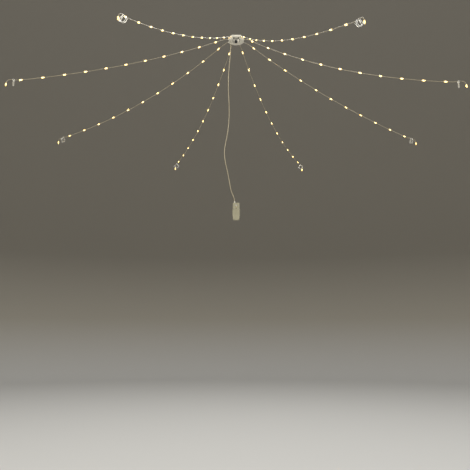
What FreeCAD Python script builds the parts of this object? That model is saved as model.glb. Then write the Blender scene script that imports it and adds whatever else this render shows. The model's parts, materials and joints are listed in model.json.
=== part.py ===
"""String lights: a split hub that clamps on a post, with eight strands of beads and clip rings.

Millimetres, +Z up. The origin is on the post's axis, halfway up the hub's clamp.
Azimuths are in degrees, anticlockwise from +X seen from above.
"""
import FreeCAD, Part
import math
import os

os.makedirs("parts", exist_ok=True)

# Driving sizes
POST_DIAMETER = 38.0
TIP_REACH = 1265.0
BEAD_PITCH_SHARE = 0.0864
BEADS_ON_RUN = 11
CORD_DIAMETER = 2.2
LEAD_DIAMETER = 3.2

# Clearances and small allowances shared by all pieces
OVERRUN = 5.0
RUNNING_CLEARANCE = 0.05
PART_GAP = 0.3
SEAT_GAP = 0.1
CORD_CLEARANCE = 0.15

# Share of a cord's shorter run that each bend takes up
BEND_SHARE = 0.45

# Hub
HUB_RING_WIDTH = 24.4
HUB_HEIGHT = 26.0
HUB_WALL = 2.2
HUB_COVER_THICKNESS = 2.2
HUB_EDGE_RADIUS = 1.8
GRIP_PAD_THICKNESS = 2.5
GRIP_PAD_HEIGHT = 20.0
GRIP_PAD_AZIMUTHS = (0.0, 90.0, 180.0)
GRIP_PAD_SPAN = 44.0
MOUTH_CLEARANCE = 0.6
SCREW_POST_AZIMUTHS = (45.0, 135.0, 205.0, 335.0)
SCREW_POST_RADIUS = 4.0
SCREW_POST_NECK_RADIUS = 2.6
BOARD_THICKNESS = 1.6
BOARD_LEVEL = 1.8
BOARD_EDGE_GAP = 0.8
COVER_LIP_DEPTH = 2.5
COVER_LIP_THICKNESS = 1.6
SCREW_RADIUS = 1.4
SCREW_HEAD_RADIUS = 2.8
SCREW_HEAD_HEIGHT = 1.3
SCREW_LENGTH = 9.0
SCREW_SLOT_WIDTH = 0.8
SCREW_SLOT_DEPTH = 0.6

# Where the strands' cords leave the hub. Two more exits lie beside the mouth.
EXIT_LEVEL = -7.0
EVEN_EXIT_AZIMUTHS = (22.5, 67.5, 112.5, 157.5, 202.5, 337.5)
GROMMET_FLANGE_RADIUS = 3.2
GROMMET_FLANGE_THICKNESS = 1.1
GROMMET_BODY_RADIUS = 2.3
GROMMET_NOSE_LENGTH = 8.0
GROMMET_NOSE_RADIUS = 3.0
GROMMET_TIP_RADIUS = 1.9
CORD_START_DEPTH = 9.2

# Lamps in the hub's rim
RIM_LAMP_AZIMUTHS = (22.5, 67.5, 112.5, 157.5, 202.5, 226.0, 314.0, 337.5)
RIM_LENS_LEVEL = 4.2
RIM_LENS_RADIUS = 2.8
RIM_LENS_FLANGE_RADIUS = 3.5
RIM_LENS_FLANGE_THICKNESS = 1.0
RIM_LENS_PROUD = 0.8
RIM_CHIP_LENGTH = 1.7
RIM_CHIP_WIDTH = 2.8
RIM_CHIP_HEIGHT = 1.9

# Gate that closes the hub's mouth
GATE_BAR_THICKNESS = 5.0
GATE_BOTTOM = -1.0
GATE_TOP_GAP = 0.3
GATE_END_INSET = 0.7
GATE_BLOCK_HALF_WIDTH = 9.5
GATE_PIN_RADIUS = 1.25
GATE_KNUCKLE_RADIUS = 3.6
GATE_PIVOT_X = 26.0
GATE_PIVOT_PROUD = 4.7
GATE_KNUCKLE_SHARE = 0.36
GATE_WEB_WIDTH = 4.0
GATE_FINGER_REACH = 8.0
GATE_FINGER_THICKNESS = 2.6

# Beads on the cord
BEAD_LENGTH = 18.0
BEAD_RADIUS = 3.7
BEAD_END_RADIUS = 2.1
BEAD_SHOULDER = 4.5
BEAD_BORE_CLEARANCE = 0.4
CHIP_LENGTH = 2.4
CHIP_WIDTH = 1.5
CHIP_HEIGHT = 0.9
CHIP_POCKET_CLEARANCE = 0.1
END_BEAD_OVERHANG = 6.0

# Clip rings at the strands' ends
RING_BORE_RADIUS = 12.0
RING_WALL = 4.0
RING_WIDTH = 9.0
RING_BOSS_RADIUS = 3.6
RING_BOSS_LENGTH = 12.0
RING_BOSS_RISE = 2.4
RING_KNUCKLE_RADIUS = 2.7
RING_PIN_RADIUS = 1.0
RING_EAR_SHARE = 0.3
RING_SNAP_THICKNESS = 2.0
RING_SNAP_RISE = 4.0
RING_SNAP_DROP = 5.0

# One value for each strand: tip azimuth, sag at mid span, sideways bow to the left, drop to the ring, and
# the first bead's reach as a share of the tip's
STRAND_AZIMUTHS = (21.5, 66.5, 111.5, 157.4, 202.6, 248.0, 294.0, 336.0)
STRAND_SAG_DEPTHS = (30.0, 81.0, 62.0, 50.0, 47.0, 38.0, 58.0, 79.0)
STRAND_BOW_WIDTHS = (17.0, 14.0, -14.0, -28.0, 39.0, -5.0, -24.0, -51.0)
STRAND_DROP_HEIGHTS = (472.0, 467.0, 453.0, 457.0, 450.0, 451.0, 459.0, 471.0)
FIRST_BEAD_SHARES = (0.0941, 0.0877, 0.0957, 0.0949, 0.1083, 0.1217, 0.0664, 0.0862)

# A strand's route, chosen by hand: share of the way out, of the drop, of the sag and bow, and of the
# sideways start. The first rows bend down from the hub, and the rest hang in one long shallow curve.
STRAND_ROUTE_SHARES = (
    (0.0000, 0.0000, 0.000, 1.00),
    (0.0090, 0.0027, 0.011, 1.18),
    (0.0208, 0.0100, 0.039, 1.33),
    (0.0376, 0.0260, 0.100, 1.40),
    (0.0660, 0.0567, 0.209, 1.32),
    (0.1050, 0.0977, 0.347, 1.10),
    (0.1470, 0.1410, 0.480, 0.82),
    (0.1890, 0.1838, 0.597, 0.58),
    (0.2310, 0.2268, 0.698, 0.38),
    (0.2730, 0.2697, 0.785, 0.22),
    (0.3150, 0.3125, 0.857, 0.10),
    (0.3570, 0.3553, 0.914, 0.03),
    (0.3990, 0.3980, 0.956, 0.00),
    (0.4410, 0.4405, 0.984, 0.00),
    (0.4830, 0.4830, 0.998, 0.00),
    (0.5250, 0.5250, 0.997, 0.00),
    (0.5670, 0.5670, 0.982, 0.00),
    (0.6090, 0.6090, 0.953, 0.00),
    (0.6510, 0.6510, 0.909, 0.00),
    (0.6930, 0.6930, 0.851, 0.00),
    (0.7350, 0.7350, 0.779, 0.00),
    (0.7770, 0.7770, 0.693, 0.00),
    (0.8190, 0.8190, 0.593, 0.00),
    (0.8610, 0.8610, 0.479, 0.00),
    (0.9030, 0.9030, 0.350, 0.00),
    (0.9430, 0.9430, 0.215, 0.00),
    (0.9740, 0.9740, 0.101, 0.00),
    (1.0000, 1.0000, 0.000, 0.00),
)
# Gap from the grommet's nose to the route's first turn, and from its last sagging point to the ring's boss
ROUTE_START_GAP = 1.5
ROUTE_END_GAP = 14.0
# The tail past the ring: steps outwards and down from the boss to the end bead
TAIL_STEPS = ((7.0, 0.0), (22.0, -6.4), (30.2, -19.0), (31.6, -34.0))

# The lead from the hub down to the battery case, between its two straight ends, chosen by hand
LEAD_ROUTE = (
    (-34.0, 0.3, -76.0),
    (-37.5, 0.8, -124.0),
    (-42.5, 1.0, -176.0),
    (-46.5, 1.0, -230.0),
    (-48.0, 0.8, -286.0),
    (-46.0, 0.5, -342.0),
    (-43.0, 0.2, -396.0),
    (-41.5, 0.1, -448.0),
    (-42.5, -0.3, -500.0),
    (-46.0, -1.5, -550.0),
    (-52.5, -4.5, -600.0),
    (-61.5, -9.0, -648.0),
    (-69.0, -14.0, -694.0),
    (-69.5, -19.0, -738.0),
    (-62.5, -24.0, -782.0),
    (-52.5, -28.0, -828.0),
    (-43.0, -31.5, -876.0),
    (-35.0, -34.0, -922.0),
    (-28.5, -35.3, -956.0),
    (-17.5, -36.0, -979.5),
)

# Battery case
CASE_TOP = -1025.0
CASE_DEPTH = 22.0
CASE_WALL = 2.0
CASE_CORNER_RADIUS = 3.5
CASE_STANDOFF = 6.0
FRONT_THICKNESS = 2.3
FRONT_HEIGHT = 39.0
FRONT_EDGE_RADIUS = 0.9
CELL_COUNT = 3
CELL_RADIUS = 5.15
CELL_PITCH = 11.2
CELL_SIDE_GAP = 0.2
CELL_LENGTH = 43.5
CELL_NUB_RADIUS = 1.9
CELL_NUB_LENGTH = 1.0
PLATE_THICKNESS = 0.5
PLATE_SIDE = 8.6
SPRING_TURNS = 4
SPRING_HEIGHT = 9.5
SPRING_BASE_RADIUS = 3.6
SPRING_TOP_RADIUS = 2.0
SPRING_BITE = 0.8
SEAL_THICKNESS = 1.5
SEAL_DEPTH = 1.6
SEAL_PROUD = 0.15
CASE_BOARD_WIDTH = 32.0
CASE_BOARD_DEPTH_SHARE = 0.68
CASE_BOSS_RADIUS = 2.4
CASE_BOSS_INSET_X = 12.0
CASE_BOSS_INSET_Z = 12.0
BUTTON_RADIUS = 4.6
BUTTON_LEVEL_SHARE = 0.4
BUTTON_PROUD = 1.4
BUTTON_FLANGE = 1.2
BUTTON_FLANGE_THICKNESS = 1.0
BUTTON_STEM_RADIUS = 1.6
BUTTON_TRAVEL = 1.0
SWITCH_SIDE = 6.0
SWITCH_HEIGHT = 2.4
WINDOW_RADIUS = 2.5
WINDOW_LEVEL_SHARE = 0.8
WINDOW_FLANGE = 0.9
WINDOW_FLANGE_THICKNESS = 0.6
RECEIVER_SIDE = 4.6
RECEIVER_HEIGHT = 3.4
LID_KNUCKLE_RADIUS = 2.1
LID_PIN_RADIUS = 0.9
LID_KNUCKLE_HALF_WIDTH = 9.7
LID_EAR_WIDTH = 5.0
LID_DROP = 2.4
LID_RIDGE_WIDTH = 14.0
LID_RIDGE_HEIGHT = 2.2
LID_RIDGE_PROUD = 1.1
LID_RIDGE_INSET = 6.0
LID_RIDGE_SOFT_SHARE = 0.45
FRONT_SCREW_INSET = 4.2
FRONT_SCREW_RADIUS = 0.9
FRONT_SCREW_HEAD_RADIUS = 1.8
FRONT_SCREW_HEAD_HEIGHT = 0.9
FRONT_SCREW_LENGTH = 7.0

# Glands of the lead
LEAD_ENTRY_X = -9.0
GLAND_FLANGE_RADIUS = 4.1
GLAND_FLANGE_THICKNESS = 1.2
GLAND_BODY_RADIUS = 3.0
GLAND_NOSE_RADIUS = 3.7
GLAND_TIP_RADIUS = 2.4
GLAND_NOSE_LENGTH = 13.0
LEAD_END_INSIDE = 3.5

# Clip that holds the case to the post
CLIP_HEIGHT = 40.0
CLIP_WALL = 3.4
CLIP_MOUTH_ANGLE = 100.0
CLIP_LIP_RADIUS = 2.4
CLIP_SADDLE_WIDTH = 18.0
CLIP_SCREW_SPACING = 30.0
CLIP_SCREW_LENGTH = 5.5

# Sizes that follow from the ones above
POST_RADIUS = POST_DIAMETER / 2
CORD_RADIUS = CORD_DIAMETER / 2
LEAD_RADIUS = LEAD_DIAMETER / 2
HUB_TOP = HUB_HEIGHT / 2
HUB_BOTTOM = -HUB_HEIGHT / 2
HUB_BORE = POST_RADIUS + GRIP_PAD_THICKNESS + SEAT_GAP
HUB_RADIUS = HUB_BORE + HUB_RING_WIDTH
HUB_RIM_TOP = HUB_TOP - HUB_COVER_THICKNESS
HUB_INNER = HUB_RADIUS - HUB_WALL
SCREW_POST_REACH = (HUB_INNER + HUB_BORE) / 2
LEAD_EXIT_REACH = SCREW_POST_REACH
MOUTH_HALF = POST_RADIUS + MOUTH_CLEARANCE
MOUTH_EXIT_SIDE = MOUTH_HALF + HUB_WALL + PART_GAP + GROMMET_FLANGE_RADIUS
MOUTH_EXIT_TURN = math.degrees(math.asin(MOUTH_EXIT_SIDE / HUB_INNER))
MOUTH_EXIT_AZIMUTHS = (270 - MOUTH_EXIT_TURN, 270 + MOUTH_EXIT_TURN)
EXIT_AZIMUTHS = EVEN_EXIT_AZIMUTHS[:5] + MOUTH_EXIT_AZIMUTHS + EVEN_EXIT_AZIMUTHS[5:]
BEAD_PITCH = TIP_REACH * BEAD_PITCH_SHARE
NOSE_REACH = HUB_RADIUS + GROMMET_NOSE_LENGTH
ROUTE_START = NOSE_REACH + ROUTE_START_GAP
BOSS_START = TIP_REACH - RING_BOSS_LENGTH / 2
BOSS_END = TIP_REACH + RING_BOSS_LENGTH / 2
ROUTE_END = BOSS_START - ROUTE_END_GAP
RING_RADIUS = RING_BORE_RADIUS + RING_WALL
RING_CENTRE_DROP = RING_RADIUS + RING_BOSS_RISE
RING_PIVOT = RING_RADIUS + RING_KNUCKLE_RADIUS
BEAD_BORE = CORD_RADIUS + BEAD_BORE_CLEARANCE
BAY_HEIGHT = CELL_LENGTH + CELL_NUB_LENGTH + SPRING_HEIGHT + PLATE_THICKNESS * 2
CASE_HEIGHT = FRONT_HEIGHT + CASE_WALL + BAY_HEIGHT + CASE_WALL
CASE_WIDTH = CELL_COUNT * CELL_PITCH + (CELL_SIDE_GAP + CASE_WALL) * 2
CASE_BOTTOM = CASE_TOP - CASE_HEIGHT
CASE_BACK = -(POST_RADIUS + CASE_STANDOFF)
CASE_RIM = CASE_BACK - CASE_DEPTH
CASE_FACE = CASE_RIM - FRONT_THICKNESS
CASE_HALF = CASE_WIDTH / 2
CASE_INNER_HALF = CASE_HALF - CASE_WALL
CASE_INNER_BACK = CASE_BACK - CASE_WALL
FRONT_BOTTOM = CASE_TOP - FRONT_HEIGHT
BAY_TOP = FRONT_BOTTOM - CASE_WALL
BAY_BOTTOM = CASE_BOTTOM + CASE_WALL
CASE_BOARD_FACE = CASE_BACK - CASE_DEPTH * CASE_BOARD_DEPTH_SHARE
CASE_BOARD_BACK = CASE_BOARD_FACE + BOARD_THICKNESS
CASE_BOARD_TOP = CASE_TOP - CASE_WALL - GLAND_FLANGE_THICKNESS - SEAT_GAP - PART_GAP
CASE_BOARD_HEIGHT = CASE_BOARD_TOP - FRONT_BOTTOM - FRONT_SCREW_INSET / 2 - PART_GAP
BUTTON_LEVEL = CASE_TOP - FRONT_HEIGHT * BUTTON_LEVEL_SHARE
WINDOW_LEVEL = CASE_TOP - FRONT_HEIGHT * WINDOW_LEVEL_SHARE
LID_PIVOT_Y = CASE_RIM + SEAT_GAP
LID_PIVOT_Z = CASE_BOTTOM - LID_DROP
LEAD_Y = CASE_BACK - CASE_DEPTH / 2
GATE_TOP = HUB_RIM_TOP - GATE_TOP_GAP
GATE_PIVOT_REACH = HUB_RADIUS + GATE_PIVOT_PROUD
GATE_PIVOT_Y = -math.sqrt(GATE_PIVOT_REACH ** 2 - GATE_PIVOT_X ** 2)


def vec(x, y, z):
    """Shorthand for a vector."""
    return FreeCAD.Vector(x, y, z)


UP = vec(0, 0, 1)
FORWARD = vec(0, 1, 0)
SIDE = vec(1, 0, 0)
CENTRE = vec(0, 0, 0)


def block(x0, x1, y0, y1, z0, z1):
    """A box between two corners."""
    return Part.makeBox(x1 - x0, y1 - y0, z1 - z0, vec(x0, y0, z0))


def rod(radius, start, end):
    """A cylinder from one point to another."""
    return Part.makeCylinder(radius, (end - start).Length, start, end - start)


def polar(reach, azimuth, level):
    """A point at a reach and azimuth from the post's axis."""
    angle = math.radians(azimuth)
    return vec(reach * math.cos(angle), reach * math.sin(angle), level)


def turned(shape, azimuth):
    """A copy turned about the post's axis from +X to an azimuth."""
    copy = shape.copy()
    copy.rotate(CENTRE, UP, azimuth)
    return copy


def annulus(outer, inner, z0, z1):
    """A flat ring about the post's axis."""
    disc = Part.makeCylinder(outer, z1 - z0, vec(0, 0, z0))
    return disc.cut(Part.makeCylinder(inner, z1 - z0, vec(0, 0, z0)))


def sector(outer, inner, middle, span, z0, z1):
    """A stretch of a flat ring, centred on an azimuth."""
    disc = Part.makeCylinder(outer, z1 - z0, vec(0, 0, z0), UP, span)
    disc = turned(disc, middle - span / 2)
    return disc.cut(Part.makeCylinder(inner, z1 - z0, vec(0, 0, z0)))


def split_ring(outer, inner, mouth, z0, z1):
    """A flat ring with a straight mouth cut through its front."""
    ring = annulus(outer, inner, z0, z1)
    return ring.cut(block(-mouth, mouth, -outer - OVERRUN, 0, z0 - OVERRUN, z1 + OVERRUN))


def spun(profile, axis_start, axis):
    """A solid of revolution from a closed outline of points."""
    face = Part.Face(Part.makePolygon(profile + [profile[0]]))
    return face.revolve(axis_start, axis, 360)


def along_x(outline):
    """Outline points from pairs of place along X and radius."""
    return [vec(place, 0, radius) for place, radius in outline]


def route_wire(points):
    """Straight runs joined by tangent arcs, each as large as its two runs allow, with the arcs' radii."""
    edges = []
    radii = []
    start = points[0]
    for before, corner, after in zip(points, points[1:], points[2:]):
        back = (before - corner)
        ahead = (after - corner)
        shorter = min(back.Length, ahead.Length)
        back.normalize()
        ahead.normalize()
        turn = math.pi - back.getAngle(ahead)
        trim = shorter * BEND_SHARE
        radius = trim / math.tan(turn / 2)
        arc_start = corner + back * trim
        arc_end = corner + ahead * trim
        bisector = (back + ahead).normalize()
        centre = corner + bisector * (radius / math.cos(turn / 2))
        arc_middle = centre - bisector * radius
        edges.append(Part.LineSegment(start, arc_start).toShape())
        edges.append(Part.Arc(arc_start, arc_middle, arc_end).toShape())
        radii.append(radius)
        start = arc_end
    edges.append(Part.LineSegment(start, points[-1]).toShape())
    return Part.Wire(edges), radii


def tube(name, points, radius):
    """A cord's solid along its route, with its radii and volume printed."""
    wire, radii = route_wire(points)
    direction = (points[1] - points[0]).normalize()
    section = Part.Wire(Part.makeCircle(radius, points[0], direction))
    solid = wire.makePipeShell([section], True, False)
    expected = math.pi * radius ** 2 * wire.Length
    print(name, "length %.1f" % wire.Length, "tightest radius %.1f" % min(radii),
          "volume over section times length %.5f" % (solid.Volume / expected))
    return solid


def place_on(wire, reach):
    """The point and direction of a strand's middle line where it is a given reach from the post's axis."""
    for edge in wire.OrderedEdges:
        first = edge.valueAt(edge.FirstParameter)
        last = edge.valueAt(edge.LastParameter)
        low = math.hypot(first.x, first.y)
        high = math.hypot(last.x, last.y)
        if low <= reach <= high:
            share = (reach - low) / (high - low)
            at = edge.FirstParameter + share * (edge.LastParameter - edge.FirstParameter)
            return edge.valueAt(at), edge.tangentAt(at)
    raise ValueError("no cord at reach %.1f" % reach)


def laid_along(shape, point, direction):
    """A copy of a shape made along +X, moved to a point and turned to a direction, kept upright."""
    flat = math.degrees(math.atan2(direction.y, direction.x))
    pitch = math.degrees(math.atan2(direction.z, math.hypot(direction.x, direction.y)))
    copy = shape.copy()
    copy.rotate(CENTRE, FORWARD, -pitch)
    copy.rotate(CENTRE, UP, flat)
    copy.translate(point)
    return copy


def screw(radius, head_radius, head_height, length):
    """A slotted screw along -Z with the top of its head at the origin."""
    body = rod(radius, vec(0, 0, -length), CENTRE)
    head = rod(head_radius, vec(0, 0, -head_height), CENTRE)
    slot = block(-head_radius, head_radius, -SCREW_SLOT_WIDTH / 2, SCREW_SLOT_WIDTH / 2,
                 -SCREW_SLOT_DEPTH, OVERRUN)
    return body.fuse(head).cut(slot)


def strand_points(number):
    """The route of one strand's cord, from inside its grommet to the end bead."""
    azimuth = STRAND_AZIMUTHS[number]
    sag = STRAND_SAG_DEPTHS[number]
    bow = STRAND_BOW_WIDTHS[number]
    drop = STRAND_DROP_HEIGHTS[number]
    away = math.radians(EXIT_AZIMUTHS[number] - azimuth)
    side_start = ROUTE_START * math.sin(away)
    points = [polar(NOSE_REACH - CORD_START_DEPTH, EXIT_AZIMUTHS[number], EXIT_LEVEL)]
    for out_share, drop_share, sag_share, side_share in STRAND_ROUTE_SHARES:
        reach = ROUTE_START + (ROUTE_END - ROUTE_START) * out_share
        if out_share == 0:
            reach = ROUTE_START * math.cos(away)
        sideways = bow * sag_share + side_start * side_share
        level = EXIT_LEVEL - drop * drop_share - sag * sag_share
        points.append(strand_point(azimuth, reach, sideways, level))
    for out, down in TAIL_STEPS:
        points.append(strand_point(azimuth, BOSS_END + out, 0, EXIT_LEVEL - drop + down))
    return points


def strand_point(azimuth, reach, sideways, level):
    """A point at a reach along a strand's azimuth and a distance to its left."""
    return turned(Part.Vertex(reach, sideways, level), azimuth).Point


def bead_body():
    """A clear bead along +X with a bore for the cord and a pocket for its lamp chip."""
    half = BEAD_LENGTH / 2
    shoulder = half - BEAD_SHOULDER
    soft = (BEAD_RADIUS + BEAD_END_RADIUS) / 2
    swell = half - BEAD_SHOULDER / 4
    tips = (vec(-half, 0, BEAD_END_RADIUS), vec(half, 0, BEAD_END_RADIUS))
    shoulders = (vec(-shoulder, 0, BEAD_RADIUS), vec(shoulder, 0, BEAD_RADIUS))
    left = Part.Arc(tips[0], vec(-swell, 0, soft), shoulders[0]).toShape()
    top = Part.LineSegment(shoulders[0], shoulders[1]).toShape()
    right = Part.Arc(shoulders[1], vec(swell, 0, soft), tips[1]).toShape()
    rest = Part.makePolygon([tips[1], vec(half, 0, BEAD_BORE), vec(-half, 0, BEAD_BORE), tips[0]])
    face = Part.Face(Part.Wire([left, top, right] + rest.Edges))
    bead = face.revolve(CENTRE, SIDE, 360)
    return bead.cut(chip_box(CHIP_POCKET_CLEARANCE))


def chip_box(margin):
    """The lamp chip under the cord, or its pocket when a margin is given."""
    top = -CORD_RADIUS - SEAT_GAP
    return block(-CHIP_LENGTH / 2 - margin, CHIP_LENGTH / 2 + margin, -CHIP_WIDTH / 2 - margin,
                 CHIP_WIDTH / 2 + margin, top - CHIP_HEIGHT - margin, top + margin)


def bead_places(number, points):
    """The middle and direction of each bead of a strand, the end bead last."""
    wire, radii = route_wire(points)
    first_bead = TIP_REACH * FIRST_BEAD_SHARES[number]
    places = [place_on(wire, first_bead + BEAD_PITCH * step) for step in range(BEADS_ON_RUN)]
    direction = (points[-1] - points[-2]).normalize()
    places.append((points[-1] - direction * (BEAD_LENGTH / 2 - END_BEAD_OVERHANG), direction))
    return places


def ring_half(low, high):
    """The part of the clip ring's hoop, about +X, between two levels."""
    hoop = rod(RING_RADIUS, SIDE * (-RING_WIDTH / 2), SIDE * (RING_WIDTH / 2))
    return hoop.common(block(-RING_WIDTH, RING_WIDTH, -RING_RADIUS, RING_RADIUS, low, high))


def ring_base_shape():
    """Upper half of a clip ring, with the boss that the cord runs through and two hinge ears."""
    half = ring_half(PART_GAP / 2, RING_RADIUS)
    boss = rod(RING_BOSS_RADIUS, vec(-RING_BOSS_LENGTH / 2, 0, RING_CENTRE_DROP),
               vec(RING_BOSS_LENGTH / 2, 0, RING_CENTRE_DROP))
    ear = RING_WIDTH * RING_EAR_SHARE
    pivot = vec(0, RING_PIVOT, 0)
    half = half.fuse(boss)
    for start in (-RING_WIDTH / 2, RING_WIDTH / 2 - ear):
        knuckle = rod(RING_KNUCKLE_RADIUS, pivot + SIDE * start, pivot + SIDE * (start + ear))
        web = block(start, start + ear, RING_RADIUS - RING_WALL / 2, RING_PIVOT, PART_GAP / 2,
                    RING_KNUCKLE_RADIUS)
        half = half.fuse(knuckle).fuse(web)
    gap = RING_WIDTH / 2 - ear
    clear = rod(RING_KNUCKLE_RADIUS + PART_GAP, pivot - SIDE * gap, pivot + SIDE * gap)
    pin_hole = rod(RING_PIN_RADIUS + RUNNING_CLEARANCE, pivot - SIDE * RING_WIDTH, pivot + SIDE * RING_WIDTH)
    cord_hole = rod(CORD_RADIUS + CORD_CLEARANCE, vec(-RING_BOSS_LENGTH, 0, RING_CENTRE_DROP),
                    vec(RING_BOSS_LENGTH, 0, RING_CENTRE_DROP))
    bore = rod(RING_BORE_RADIUS, SIDE * -RING_WIDTH, SIDE * RING_WIDTH)
    return half.cut(clear).cut(pin_hole).cut(cord_hole).cut(bore)


def ring_gate_shape():
    """Lower half of a clip ring, with its hinge knuckle and the snap finger at its free end."""
    half = ring_half(-RING_RADIUS, -PART_GAP / 2)
    ear = RING_WIDTH * RING_EAR_SHARE + PART_GAP
    middle = RING_WIDTH / 2 - ear
    pivot = vec(0, RING_PIVOT, 0)
    knuckle = rod(RING_KNUCKLE_RADIUS, pivot - SIDE * middle, pivot + SIDE * middle)
    web = block(-middle, middle, RING_RADIUS - RING_WALL / 2, RING_PIVOT, -RING_KNUCKLE_RADIUS, -PART_GAP / 2)
    inner = -RING_RADIUS - PART_GAP
    finger = block(-RING_WIDTH / 2, RING_WIDTH / 2, inner - RING_SNAP_THICKNESS, inner,
                   -RING_SNAP_DROP, RING_SNAP_RISE)
    foot = block(-RING_WIDTH / 2, RING_WIDTH / 2, inner - RING_SNAP_THICKNESS, -RING_RADIUS + RING_WALL / 2,
                 -RING_SNAP_DROP, -RING_SNAP_THICKNESS)
    half = half.fuse([knuckle, web, finger, foot])
    clear = RING_KNUCKLE_RADIUS + PART_GAP
    for start in (-RING_WIDTH / 2, middle):
        half = half.cut(rod(clear, pivot + SIDE * start, pivot + SIDE * (start + ear)))
    pin_hole = rod(RING_PIN_RADIUS + RUNNING_CLEARANCE, pivot - SIDE * RING_WIDTH, pivot + SIDE * RING_WIDTH)
    bore = rod(RING_BORE_RADIUS, SIDE * -RING_WIDTH, SIDE * RING_WIDTH)
    return half.cut(pin_hole).cut(bore)


def ring_pin_shape():
    """Hinge pin of a clip ring."""
    pivot = vec(0, RING_PIVOT, 0)
    return rod(RING_PIN_RADIUS, pivot - SIDE * (RING_WIDTH / 2), pivot + SIDE * (RING_WIDTH / 2))


def at_tip(shape, number):
    """A copy of a clip ring's piece, moved to a strand's end."""
    copy = shape.copy()
    copy.translate(vec(TIP_REACH, 0, EXIT_LEVEL - STRAND_DROP_HEIGHTS[number] - RING_CENTRE_DROP))
    return turned(copy, STRAND_AZIMUTHS[number])


def grommet_shape():
    """A strain relief along +X that holds a strand's cord in the hub's wall."""
    inside = HUB_INNER - SEAT_GAP * 2
    bore = CORD_RADIUS + CORD_CLEARANCE
    outline = along_x([
        (inside - GROMMET_FLANGE_THICKNESS, bore),
        (inside - GROMMET_FLANGE_THICKNESS, GROMMET_FLANGE_RADIUS),
        (inside, GROMMET_FLANGE_RADIUS),
        (inside, GROMMET_BODY_RADIUS),
        (HUB_RADIUS + SEAT_GAP, GROMMET_BODY_RADIUS),
        (HUB_RADIUS + SEAT_GAP, GROMMET_NOSE_RADIUS),
        (HUB_RADIUS + GROMMET_FLANGE_THICKNESS, GROMMET_NOSE_RADIUS),
        (NOSE_REACH, GROMMET_TIP_RADIUS),
        (NOSE_REACH, bore),
    ])
    shape = spun(outline, CENTRE, SIDE)
    shape.translate(vec(0, 0, EXIT_LEVEL))
    return shape


def rim_lens_shape():
    """A clear lens along +X in the hub's wall, domed outside."""
    inside = HUB_INNER - SEAT_GAP * 2
    face = HUB_RADIUS + RIM_LENS_PROUD
    dome_height = RIM_LENS_RADIUS / 2
    stem = rod(RIM_LENS_RADIUS, vec(inside, 0, 0), vec(face, 0, 0))
    flange = rod(RIM_LENS_FLANGE_RADIUS, vec(inside - RIM_LENS_FLANGE_THICKNESS, 0, 0), vec(inside, 0, 0))
    dome_radius = (RIM_LENS_RADIUS ** 2 + dome_height ** 2) / (2 * dome_height)
    ball = Part.makeSphere(dome_radius, vec(face + dome_height - dome_radius, 0, 0))
    ball = ball.cut(block(-HUB_RADIUS, face, -HUB_RADIUS, HUB_RADIUS, -HUB_RADIUS, HUB_RADIUS))
    shape = stem.fuse(flange).fuse(ball)
    shape.translate(vec(0, 0, RIM_LENS_LEVEL))
    return shape


def rim_chip_shape():
    """A lamp chip on the hub's circuit board, behind a rim lens."""
    outer = HUB_INNER - BOARD_EDGE_GAP * 2 - PART_GAP
    top = BOARD_LEVEL + BOARD_THICKNESS
    return block(outer - RIM_CHIP_LENGTH, outer, -RIM_CHIP_WIDTH / 2, RIM_CHIP_WIDTH / 2,
                 top, top + RIM_CHIP_HEIGHT)


def gate_hinge_spans():
    """Bottom and top of the gate's knuckle on the hub's hinge line."""
    height = GATE_TOP - GATE_BOTTOM
    inset = height * (1 - GATE_KNUCKLE_SHARE) / 2
    return GATE_BOTTOM + inset, GATE_TOP - inset


def hub_body_shape():
    """Lower shell of the hub: floor, walls, board posts and two hinge knuckles."""
    shell = split_ring(HUB_RADIUS, HUB_BORE, MOUTH_HALF, HUB_BOTTOM, HUB_RIM_TOP)
    bottom_edges = [edge for edge in shell.Edges
                    if edge.BoundBox.ZMax < HUB_BOTTOM + SEAT_GAP and edge.BoundBox.YMax > HUB_BORE
                    and edge.BoundBox.XLength > HUB_RADIUS]
    shell = shell.makeFillet(HUB_EDGE_RADIUS, bottom_edges)
    hollow = split_ring(HUB_INNER, HUB_BORE + HUB_WALL, MOUTH_HALF + HUB_WALL,
                        HUB_BOTTOM + HUB_WALL, HUB_RIM_TOP + OVERRUN)
    shell = shell.cut(hollow)
    for azimuth in SCREW_POST_AZIMUTHS:
        foot = polar(SCREW_POST_REACH, azimuth, HUB_BOTTOM + HUB_WALL / 2)
        shoulder = polar(SCREW_POST_REACH, azimuth, BOARD_LEVEL)
        top = polar(SCREW_POST_REACH, azimuth, HUB_RIM_TOP)
        shell = shell.fuse(rod(SCREW_POST_RADIUS, foot, shoulder))
        shell = shell.fuse(rod(SCREW_POST_NECK_RADIUS, shoulder, top))
    knuckle_low, knuckle_high = gate_hinge_spans()
    for low, high in ((GATE_BOTTOM, knuckle_low - PART_GAP), (knuckle_high + PART_GAP, GATE_TOP)):
        shell = shell.fuse(hub_knuckle(low, high))
    pivot = vec(GATE_PIVOT_X, GATE_PIVOT_Y, 0)
    shell = shell.cut(rod(GATE_PIN_RADIUS + RUNNING_CLEARANCE, pivot + UP * (GATE_BOTTOM - OVERRUN),
                          pivot + UP * (HUB_TOP + OVERRUN)))
    for azimuth in SCREW_POST_AZIMUTHS:
        hole_top = polar(SCREW_POST_REACH, azimuth, HUB_RIM_TOP + OVERRUN)
        shell = shell.cut(rod(SCREW_RADIUS + SEAT_GAP, hole_top - UP * (SCREW_LENGTH + OVERRUN), hole_top))
    return hub_wall_holes(shell)


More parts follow.
